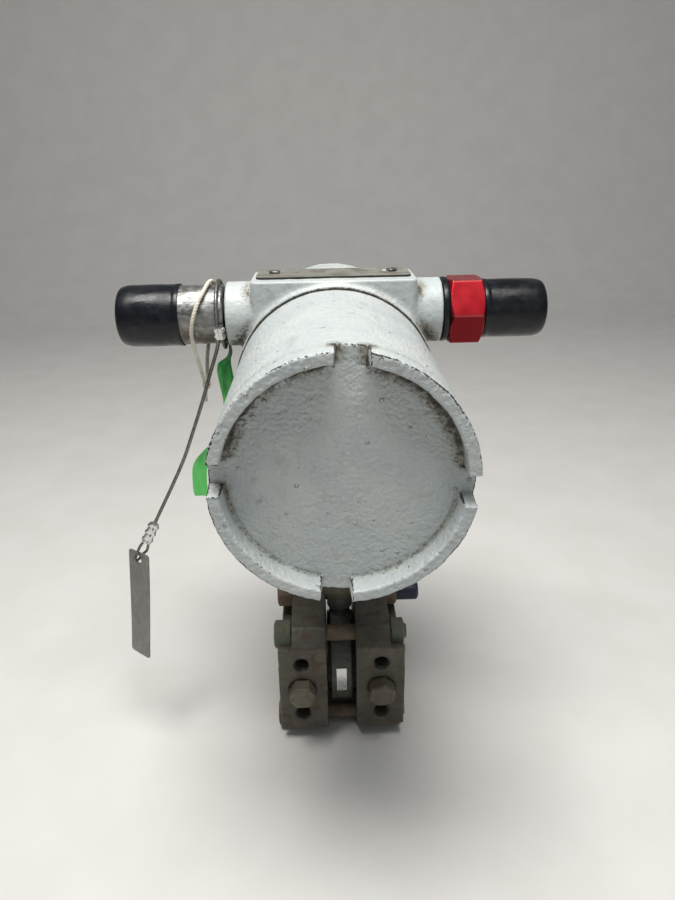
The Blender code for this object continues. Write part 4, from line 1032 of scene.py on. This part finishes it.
def make_cell(looks):
    cast("cell_body_disc", cell_field, (-10, 7, 9), (10, 77, 104), 0.6, looks["cell"], "sensor", "cell_body",
         "process_steel", rough=0.06)
    points, faces = [], []
    steps = np.radians(np.linspace(-12, 18, 13))
    for radius in (34.35, 34.95):
        for a in steps:
            for x in np.linspace(-3.5, 3.5, 8):
                points.append((x, NECK_Y - radius * math.cos(a), PORT_Z + radius * math.sin(a)))
    rows, columns = len(steps), 8
    for layer in (0, 1):
        for i in range(rows - 1):
            for j in range(columns - 1):
                k = layer * rows * columns + i * columns + j
                face = (k, k + 1, k + columns + 1, k + columns)
                faces.append(face if layer else face[::-1])
    rim = [i * columns for i in range(rows)] + [(rows - 1) * columns + j for j in range(1, columns)]
    rim += [i * columns + columns - 1 for i in range(rows - 2, -1, -1)] + list(range(columns - 2, 0, -1))
    lift = rows * columns
    for a, b in zip(rim, rim[1:] + rim[:1]):
        faces.append((a, b, b + lift, a + lift))
    put("cell_label_foil", points, faces, looks["foil"], "sensor", "cell_label", "stainless")


def flange_field(side):
    def field(p):
        q = [p[0] * side, p[1] - NECK_Y, p[2] - PORT_Z]
        y, z = np.abs(q[1]), np.abs(q[2])
        slant = 0.674 * (y - 41) + 0.738 * (z - 33.5)
        face = softmax(softmax(y - 41, z - 44, 1.2), slant, 1.6)
        body = softmax(face, np.abs(q[0] - 21.75) - 11.75, 1.0)
        origin = (0, 0, 0)
        ridge = block(q, (31.5, -40.6, -18), (43, 40.6, 18), 1.6)
        body = merge(body, ridge, 3.0)
        for way in (-1, 1):
            rear, front = sorted((way * 34.6, way * 40.6))
            bar = block(q, (31.5, rear, -33.2), (43, front, 33.2), 1.6)
            body = merge(body, bar, 3.0)
        body = softmax(softmax(body, y - 41, 0.8), q[0] - 43, 0.8)
        folded = [q[0], y, z]
        body = carve(body, rod(q, "X", origin, 21.5, 5, 12.5, 0.5))
        groove = np.maximum(rod(q, "X", origin, 27.9, 5, 11.7), -(np.hypot(q[1], q[2]) - 24.1))
        body = carve(body, groove, 0.3)
        port = (27, 0, 0)
        body = carve(body, rod(folded, "Y", port, 6.6, 22, 50), 0.4)
        body = carve(body, rod(folded, "Y", port, 9.6, 39.6, 50, 0.3), 0.5)
        stud = (27, 0, 20.65)
        lip = np.hypot(folded[0] - 27, folded[2] - 20.65) - 5.3 - np.maximum(folded[1] - 40.1, 0) * 0.9
        lip = np.maximum(lip, 39.9 - folded[1])
        body = carve(body, np.minimum(rod(folded, "Y", stud, 5.3, 22, 50), lip), 0.4)
        return carve(body, rod(folded, "X", (0, 24, 34.4), 5.9, 5, 40), 0.5)
    return field


def lining_thread(radius, angle, along):
    """A shape for turned(): the thread inside a stud hole."""
    wave = np.abs(2 * ((along / 1.27 - angle / math.tau) % 1) - 1)
    return np.where(radius < 5.2, radius - 0.45 * wave + 0.2, radius)


def make_flanges(looks):
    for name, side in (("left_flange", -1), ("right_flange", 1)):
        xs = sorted((side * 9.4, side * 43.6))
        cast(name + "_casting", flange_field(side), (xs[0], 0.4, -0.6), (xs[1], 83.6, 88.6), 0.6,
             looks["forged"], "sensor", name, "process_steel", rough=0.16)
        for way in (-1, 1):
            for rise in (-20.65, 20.65):
                spot = (side * 27, NECK_Y, PORT_Z + rise)
                lining = [(5.0, way * 24), (5.28, way * 24), (5.28, way * 39.4), (5.0, way * 39.4)]
                turned(f"{name}_thread_{way + 1}_{int(rise > 0)}", "Y", spot, lining, looks["thread"],
                       "sensor", slot="process_steel", sides=48, step=0.3, shape=lining_thread)


def make_bolts(looks):
    number = 0
    for way in (-1, 1):
        for rise in (34.4, -34.4):
            number += 1
            spot = (0, NECK_Y + way * 24, PORT_Z + rise)
            long_end = way > 0 and rise > 0
            tip = 57.0 if long_end else 45.0
            look = looks["green_bolt"] if number == 1 else looks["rusty"]
            profile = [
                (0, -45.5), (7.6, -45.5, 0.3), (10.3, -44.1, 0.4), (10.3, -34.6, 0.3), (8.3, -33.8, 0.2),
                (5.5, -33.8, 0.4), (5.5, tip - 1.2, 0.3), (4.4, tip, 0.3), (0, tip),
            ]
            hexed = hexagon(17.5, 0.2 * number, (-46, -34.2), 0.4)
            cut = threaded(1.27, 0.55, (10.5, tip - 0.3))
            turned(f"flange_bolt_{number}_body", "X", spot, profile, look, "sensor", f"flange_bolt_{number}",
                   "process_steel", sides=96, step=0.35, rough=0.05, shape=split_at(-30, hexed, cut))
            nut = [(5.9, 33.8), (8.2, 33.8, 0.2), (10.3, 34.9, 0.4), (10.3, 41.8, 0.4), (7.8, 43, 0.3),
                   (5.9, 43)]
            turned(f"flange_nut_{number}_body", "X", spot, nut, look, "sensor", f"flange_nut_{number}",
                   "process_steel", sides=96, step=0.6, rough=0.05,
                   shape=hexagon(17.5, 0.35 * number, (33, 44), 0.4))
            if long_end:
                wall = [(0, 59.5), (5.4, 59.5, 1.2), (7.2, 58.2, 1.2), (7.2, 45.2, 0.4), (7.3, 43.3, 0.4),
                        (6, 43.3), (6, 57.5), (0, 57.5)]
                turned("bolt_sleeve_cap", "X", spot, wall, looks["navy"], "sensor", "bolt_sleeve", "navy_plastic",
                       sides=72, step=1.0, rough=0.08)


def make_plugs(looks):
    for name, side in (("left_port_plug", -1), ("right_port_plug", 1)):
        spot = (side * 27, NECK_Y, PORT_Z)
        profile = [(0, -50), (6.6, -50, 0.5), (9.3, -48.4, 0.4), (9.3, -40.2, 0.3), (6.2, -39.9, 0.2),
                   (6.2, -24, 0.5), (0, -24)]
        hexed = hexagon(16, 0.3 * (side + 1) / 2, (-50.5, -39.95), 0.35)
        cut = threaded(1.41, 0.5, (-39.5, -24.5))
        turned(name + "_body", "Y", spot, profile, looks["plug"], "sensor", name, "process_steel", sides=96,
               step=0.4, rough=0.07, shape=split_at(-39.95, hexed, cut))


# ---------------------------------------------------------------- wire, tag, string and strip


FERRULE_TOP = np.array((-117.6, 22, 165.8))
FERRULE_END = np.array((-125.2, 22, 151.3))
FERRULE_DOWN = (FERRULE_END - FERRULE_TOP) / np.linalg.norm(FERRULE_END - FERRULE_TOP)
FERRULE_SIDE = np.array((0.885, 0, -0.465))
TAG_HOLE = np.array((-131.2, 22, 139.3))
KNOT = np.array((-78.0, 33.0, 254.0))


def round_coupling(x, degrees, radius):
    angle = math.radians(degrees)
    return (x, CONDUIT[1] - radius * math.cos(angle), CONDUIT[2] + radius * math.sin(angle))


def make_wire(looks):
    turns = [(-64.4, -7), (-64.4, -14), (-64.4, -22), (-64.4, -30), (-64.5, -42), (-64.8, -65)]
    turns += [(-65.1, -90), (-65.4, -135), (-65.8, -180), (-66.2, -225), (-66.5, -270)]
    turns += [(-66.6, -315), (-66.7, -345), (-66.7, -364), (-66.7, -374), (-66.7, -382), (-66.7, -390)]
    stops = [round_coupling(x, degrees, 19.2) for x, degrees in turns]
    stops += [(-67.6, 23.2, 281.2), (-69.4, 23.8, 275.4), (-73.2, 23, 265), (-79.2, 22, 248)]
    stops += [(-87, 21.5, 228), (-94, 21.5, 211), (-102, 21.5, 195), (-110, 22, 180), (-117.2, 22, 166.6)]
    path = route(stops, 0.5)
    wire = rope("tag_wire_cable", path, 1.1, looks["wire"], "wire", strands=6, lay=9, sides=36,
                nodes="tag_wire", slot="stainless")
    angle = math.radians(-22)
    middle = np.array(round_coupling(-65.55, -22, 19.2))
    along = np.array((0, math.sin(angle), math.cos(angle))) * 4
    crimp = sleeve("wire_crimp_sleeve", middle + along, middle - along, (3.0, 1.75), np.array((1.0, 0, 0)),
                   looks["bright"], "wire_crimp", 2)
    ferrule = sleeve("tag_ferrule_sleeve", FERRULE_TOP + FERRULE_DOWN * 0.3, FERRULE_END - FERRULE_DOWN * 0.3,
                     (3.25, 1.95), FERRULE_SIDE, looks["bright"], "tag_ferrule", 3)
    eye = make_eye(looks)
    make_tag(looks)


def sleeve(name, top, bottom, half, across, look, node, presses):
    """A double-barrel sleeve pressed flat in a few places, with its ends left a little fuller."""
    down = bottom - top
    length = np.linalg.norm(down)
    down = down / length
    across = across - down * across.dot(down)
    across /= np.linalg.norm(across)
    depth = np.cross(down, across)
    rings = []
    for s in np.linspace(0, length, 40):
        end = min(s, length - s)
        lip = 1 - 0.16 * max(0, 1 - end / 0.6) ** 2
        pressed = 1 - 0.2 * (0.5 - 0.5 * math.cos(s / length * math.tau * presses)) ** 2
        ring = []
        for a in np.arange(64) * math.tau / 64:
            waist = 1 - 0.2 * math.exp(-((math.cos(a) / 0.28) ** 2))
            ring.append(top + down * s + across * half[0] * lip * (2 - pressed) * 0.97 * math.cos(a)
                        + depth * half[1] * lip * pressed * waist * math.sin(a))
        rings.append(np.array(ring))
    points, faces = skin(capped(rings))
    return put(name, roughened(points, 0.07, 2), faces, look, "wire", node, "zinc_plate")


def make_eye(looks):
    down, side = FERRULE_DOWN, FERRULE_SIDE
    left, right = FERRULE_END - side * 1.7, FERRULE_END + side * 1.7
    loop = [left, left + down * 5 - side * 0.8, TAG_HOLE + (-1.5, -3.4, 1.5), TAG_HOLE]
    loop += [TAG_HOLE + (1.6, 3.4, 1.5), right + down * 5 + side * 0.8, right]
    return rope("tag_eye_loop", route(loop, 0.35), 0.9, looks["wire"], "wire", strands=6, lay=7, sides=30,
                nodes="tag_eye", slot="stainless")


def make_tag(looks):
    """A thin plate bowed a little, with thinner side edges and a hole at its top."""
    turn = math.radians(37)
    across = np.array((math.cos(turn), -math.sin(turn), 0))
    down = np.array((-0.07, -0.12, -0.99))
    down = down - across * down.dot(across)
    down /= np.linalg.norm(down)
    front = np.cross(across, down)
    half, length, thick, corner = 9.5, 76.0, 0.45, 1.6
    us, vs = np.linspace(-half, half, 27), np.linspace(-5, length - 5, 90)
    hole_r, points, faces, index = 2.3, [], [], {}

    def flat(u, v):
        near_end = min(v + 5, length - 5 - v)
        if near_end < corner:
            inset = math.sqrt(max(0, corner**2 - (corner - near_end) ** 2))
            u = math.copysign(min(abs(u), half - corner + inset), u)
        gap = math.hypot(u, v)
        if 1e-6 < gap < hole_r * 2.2:
            share = hole_r + (gap / (hole_r * 2.2)) * hole_r * 1.2
            u, v = u / gap * share, v / gap * share
        bow = 0.35 * math.sin(math.pi * (v + 5) / length) + 0.25 * math.sin(0.055 * v + 1.3) * (u / half)
        return u, v, bow

    for face, height in ((0, thick), (1, -thick)):
        for i, v in enumerate(vs):
            for j, u in enumerate(us):
                if math.hypot(u, v) < 0.5:
                    continue
                a, b, bow = flat(u, v)
                edge = 1 - max(0, (abs(u) / half - 0.96) / 0.04) * 0.45
                index[face, i, j] = len(points)
                spot = TAG_HOLE + across * a + down * b + front * (bow + height * edge)
                points.append(spot)
    quads = {0: [], 1: []}
    for face in (0, 1):
        for i in range(len(vs) - 1):
            for j in range(len(us) - 1):
                keys = [(face, i, j), (face, i, j + 1), (face, i + 1, j + 1), (face, i + 1, j)]
                middle_u, middle_v = (us[j] + us[j + 1]) / 2, (vs[i] + vs[i + 1]) / 2
                if all(k in index for k in keys) and math.hypot(middle_u, middle_v) > 0.75:
                    quads[face].append([index[k] for k in keys])
    faces += [tuple(q) for q in quads[0]] + [tuple(q[::-1]) for q in quads[1]]
    lift = index[1, 0, 0] - index[0, 0, 0]
    edges = {pair: True for q in quads[0] for pair in zip(q, q[1:] + q[:1])}
    for a, b in edges:
        if (b, a) not in edges:
            faces.append((b, a, a + lift, b + lift))
    put("tag_plate", points, faces, looks["tag"], "tag", "tag", "stainless", sharp=50)


def make_string(looks):
    stops = [KNOT + (-0.9, -2.2, 3.3), (-80, 27.5, 267)]
    turns = [(-82, -38), (-80.6, -5), (-77.5, 25), (-73.6, 55), (-71.2, 90), (-71, 130)]
    turns += [(-72.5, 175), (-75, 205)]
    stops += [round_coupling(x, degrees, 19.1) for x, degrees in turns]
    stops += [(-77.5, 44, 271), KNOT + (0.4, 2.4, 3.3)]
    path = route(stops, 0.4)
    loop = rope("tag_string_loop", path, 1.2, looks["cotton"], "housing", strands=3, lay=5.5, sides=30,
                depth=0.3, nodes="tag_string", slot="cotton")
    angle = math.radians(8)
    tail_end = KNOT + 11.0 * np.array((-math.sin(angle), 0, -math.cos(angle)))
    hanging = route([KNOT + (0, 0, -1), KNOT + (-0.9, 0.2, -5), tail_end * 0.85 + KNOT * 0.15], 0.3)
    tail = rope("string_tail", hanging, 0.95, looks["cotton"], "housing", strands=3, lay=4.5, sides=24,
                depth=0.35, slot="cotton")
    turns = np.linspace(0, 2 * math.tau, 90)
    reach = [1.25 + 0.45 * math.cos(2.5 * t) for t in turns]
    coil = [KNOT + (r * math.cos(t), r * math.sin(t), 1.5 * math.sin(2.5 * t)) for r, t in zip(reach, turns)]
    lump = rope("string_knot_coil", route(coil, 0.4), 1.0, looks["cotton"], "housing", strands=3, lay=5,
                sides=20, depth=0.3, nodes="string_knot", slot="cotton")
    fibres = fuzz("string_fibres", path, tail_end, looks["cotton"])


def fuzz(name, path, tail_end, look):
    """Loose fibres standing off the string, and the frayed end of its tail."""
    draw = random.Random(7)
    points, faces = [], []

    def fibre(start, way, length, curl, radius):
        line = [start + way * length * t + curl * length * t * t for t in np.linspace(0, 1, 6)]
        rings = []
        for i, (point, (a, b)) in enumerate(zip(np.array(line), sections(np.array(line)))):
            size = radius * (1 - 0.6 * i / 5)
            rings.append(np.array([
                point + a * size * math.cos(t) + b * size * math.sin(t) for t in (0, 2.09, 4.19)
            ]))
        some, more = skin(capped(rings))
        base = len(points)
        points.extend(some)
        faces.extend(tuple(base + i for i in f) for f in more)

    def drift():
        return np.array([draw.uniform(-1, 1) for _ in range(3)])

    for _ in range(150):
        place = path[draw.randrange(4, len(path) - 4)]
        way = drift()
        way /= np.linalg.norm(way)
        fibre(place + way * 0.7, way, draw.uniform(0.6, 1.5), drift() * 0.5, 0.05)
    for _ in range(46):
        way = np.array((draw.uniform(-0.35, 0.25), draw.uniform(-0.3, 0.3), -1))
        start = tail_end * 0.8 + KNOT * 0.2 + drift() * 0.5
        length = draw.uniform(1.6, 2.6)
        curl = np.array((draw.uniform(-0.3, 0.3), draw.uniform(-0.3, 0.3), 0))
        fibre(start, way, length, curl, 0.11)
    return put(name, points, faces, look, "housing", slot="cotton")


def make_strip(looks):
    """The green strip: an eye behind the coupling and a thin band that twists and hangs."""
    stops = [(-62.75, 38, 284, 90), (-62.8, 38, 274.5, 90), (-63.8, 38.4, 270.5, 76), (-67.1, 40, 265.5, 42)]
    stops += [(-67.6, 41.2, 259, 22), (-66.6, 42, 250, 10), (-65.6, 42, 238, 4), (-68, 42, 223, 4)]
    stops += [(-73, 42, 212, 4), (-82, 42, 204, 6), (-88.6, 42, 196, 6), (-90.1, 42, 186, 3)]
    stops.append((-90.3, 42, 174.5, 0))
    path = route([s[:3] for s in stops], 0.9)
    heights, angles = [s[2] for s in stops][::-1], [s[3] for s in stops][::-1]
    degrees = np.interp(path[:, 2], heights, angles)
    ahead = np.gradient(path, axis=0)
    columns, rings, marks = 15, [], {"edge": [], "hollow": []}
    for i, point in enumerate(path):
        wide = np.array((math.cos(math.radians(degrees[i])), math.sin(math.radians(degrees[i])), 0))
        wide -= ahead[i] * wide.dot(ahead[i]) / ahead[i].dot(ahead[i])
        wide /= np.linalg.norm(wide)
        thick = np.cross(ahead[i], wide)
        thick /= np.linalg.norm(thick)
        ring = []
        share = i / (len(path) - 1)
        for k in range(2 * columns):
            across = (k if k < columns else 2 * columns - 1 - k) / (columns - 1) * 2 - 1
            crown = 0.28 * (1 - across**2) * math.sin(3 * share + 0.6)
            ripple = 0.16 * math.sin(across * 6 + point[2] * 0.35)
            half = 4.7 * (1 - 0.12 * max(0, share - 0.975) / 0.025)
            level = (0.36 if k < columns else -0.36) * (1 - 0.5 * abs(across) ** 8)
            ring.append(point + wide * across * half + thick * (level + crown * 0.3 + ripple * 0.4))
            fold = 0.8 * math.exp(-((point[2] - 240) / 5) ** 2)
            marks["edge"].append(fold + 0.7 * (share > 0.72) * min(1, (share - 0.72) * 8))
            # Painted shade: the hollow mark darkens the band towards its top, behind the coupling.
            marks["hollow"].append(max(0, 1 - (284 - point[2]) / 22) * 0.85)
        rings.append(np.array(ring))
    points, faces = skin(capped(rings))
    marks = {key: np.concatenate([[0], values, [0]]) for key, values in marks.items()}
    put("green_strip_band", points, faces, looks["green"], "housing", "green_strip", "green_plastic",
        marks=marks)
    eye = [(10.4, -62.35), (13.3, -62.35, 0.2), (13.3, -63.15, 0.2), (10.4, -63.15)]
    # Painted shade: the whole eye is marked hollow, so it is drawn nearly black-green.
    turned("green_strip_eye", "X", CONDUIT, eye, looks["green"], "housing", slot="green_plastic", sides=96,
           ease=0.2, marks={"edge": lambda p: np.zeros(len(p)), "hollow": lambda p: np.ones(len(p))})


# ---------------------------------------------------------------- scene


def finish_cad_nodes(looks):
    """The inner pieces keep their CAD shape and get their own material."""
    words = {"post": "moulding", "board": "board", "block": "moulding", "feedthrough": "moulding",
             "lead": "moulding", "gasket": "moulding", "diaphragm": "foil"}
    for name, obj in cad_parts.items():
        if obj.hide_render:
            continue
        found = next((look for word, look in words.items() if word in name), "dark_zinc")
        obj.data.materials.clear()
        obj.data.materials.append(looks[found])


def make_camera():
    """The photograph's viewpoint: in front, above and looking a little down."""
    data = bpy.data.cameras.new("viewpoint")
    data.sensor_width = 36
    data.lens = 27.4
    data.clip_start, data.clip_end = 0.01, 50
    camera = linked("viewpoint", data)
    pitch, yaw, roll = math.radians(23.22), math.radians(1.13), math.radians(-1.07)
    ahead = Vector((math.sin(yaw) * math.cos(pitch), math.cos(yaw) * math.cos(pitch), -math.sin(pitch)))
    level = Vector((math.cos(yaw), -math.sin(yaw), 0))
    upright = level.cross(ahead)
    right = level * math.cos(roll) + upright * math.sin(roll)
    up = upright * math.cos(roll) - level * math.sin(roll)
    camera.matrix_world = Matrix((right, up, -ahead)).transposed().to_4x4()
    camera.location = Vector((-7.4, -366, 379.8)) * MM
    bpy.context.scene.camera = camera


def area_light(name, place, target, size, power, colour):
    data = bpy.data.lights.new(name, "AREA")
    data.shape = "RECTANGLE"
    data.size, data.size_y = size
    data.energy = power
    data.color = colour
    lamp = linked(name, data)
    lamp.location = place
    lamp.rotation_euler = (Vector(target) - Vector(place)).to_track_quat("-Z", "Y").to_euler()


def make_studio():
    scene = bpy.context.scene
    scene.view_settings.view_transform = "Standard"
    world = bpy.data.worlds.new("studio")
    scene.world = world
    world.use_nodes = True
    sky = world.node_tree.nodes["Background"]
    sky.inputs["Color"].default_value = (0.90, 0.95, 1.0, 1)
    sky.inputs["Strength"].default_value = 0.15
    area_light("overhead", (-0.08, -0.22, 1.3), (0, 0.0, 0.25), (0.75, 0.5), 19, (1, 0.985, 0.96))
    area_light("front_fill", (0.7, -1.5, 0.7), (0, 0, 0.2), (1.2, 0.9), 0.9, (0.88, 0.95, 1))
    look = Look("pale_floor")
    look.colour(look.mix(look.step(look.noise(60, 4), 0.3, 0.7), (0.74, 0.72, 0.69), (0.77, 0.755, 0.725)))
    look.rough(look.step(look.noise(20, 4), 0.3, 0.7, 0.75, 0.9))
    look.bump(look.noise(2.5, 4), 0.08)
    profile = [(-2.5, 0.0), (1.3, 0.0)]
    profile += [(1.3 + 0.5 * math.sin(t), 0.5 - 0.5 * math.cos(t)) for t in np.linspace(0.1, math.pi / 2, 14)]
    profile.append((1.8, 3.2))
    points = [(x, y, z - 0.0002) for y, z in profile for x in (-4, 4)]
    faces = [(2 * i, 2 * i + 1, 2 * i + 3, 2 * i + 2) for i in range(len(profile) - 1)]
    mesh = bpy.data.meshes.new("floor")
    mesh.from_pydata(points, [], faces)
    mesh.shade_smooth()
    mesh.materials.append(look.made)
    linked("floor", mesh)


def make_looks():
    return {
        "paint": paint(),
        "face": paint("pebbled_paint", pebbled=True),
        "bare": forged("bare_thread", (0.30, 0.30, 0.29), (0.2, 0.16, 0.1), 0.3),
        "forged": forged(),
        "cell": forged("cell_steel", (0.062, 0.064, 0.054), (0.07, 0.055, 0.035), 0.3),
        "plug": forged("plug_steel", (0.098, 0.086, 0.062), (0.11, 0.065, 0.036), 0.3),
        "rusty": forged("rusty_bolt", (0.10, 0.072, 0.045), (0.15, 0.065, 0.025), 0.45),
        "green_bolt": forged("patina_bolt", (0.10, 0.072, 0.045), (0.12, 0.08, 0.045), 0.4,
                             (0.085, 0.10, 0.072)),
        "thread": forged("stud_thread", (0.06, 0.055, 0.045), (0.07, 0.045, 0.025), 0.3),
        "zinc": zinc(shade_and_grime_below=0.300),
        "dark_zinc": zinc("dull_zinc", "Z"),
        "plate": edged_plate(),
        "foil": steel("label_foil", (0.75, 0.75, 0.74), (0.55, 0.55, 0.54), 0.16, (1, 0.2, 0.2)),
        "tag": steel("tag_alloy", (0.33, 0.33, 0.31), (0.22, 0.22, 0.205), 0.5, (1, 1, 0.1), 0.25),
        "bright": steel("pressed_sleeve", (0.8, 0.8, 0.79), (0.6, 0.6, 0.59), 0.14, (1, 1, 0.3)),
        "wire": steel("wire_steel", (0.30, 0.29, 0.27), (0.14, 0.135, 0.125), 0.34, (1, 1, 0.4)),
        "brass": steel("adjuster_brass", (0.66, 0.49, 0.20), (0.48, 0.34, 0.13), 0.32, (1, 1, 0.3)),
        "rubber": rubber(),
        "red": anodised(),
        "navy": moulding("navy_plastic", (0.012, 0.016, 0.038), 0.4, (0.07, 0.08, 0.11)),
        "green": green_film(),
        "cotton": cotton(),
        "moulding": moulding("dark_moulding", (0.03, 0.03, 0.034)),
        "board": board(),
    }


make_camera()
looks = make_looks()
make_wire(looks)
make_string(looks)
make_strip(looks)
make_housing(looks)
make_top(looks)
make_fittings(looks)
make_neck(looks)
make_cell(looks)
make_flanges(looks)
make_bolts(looks)
make_plugs(looks)
finish_cad_nodes(looks)
make_studio()
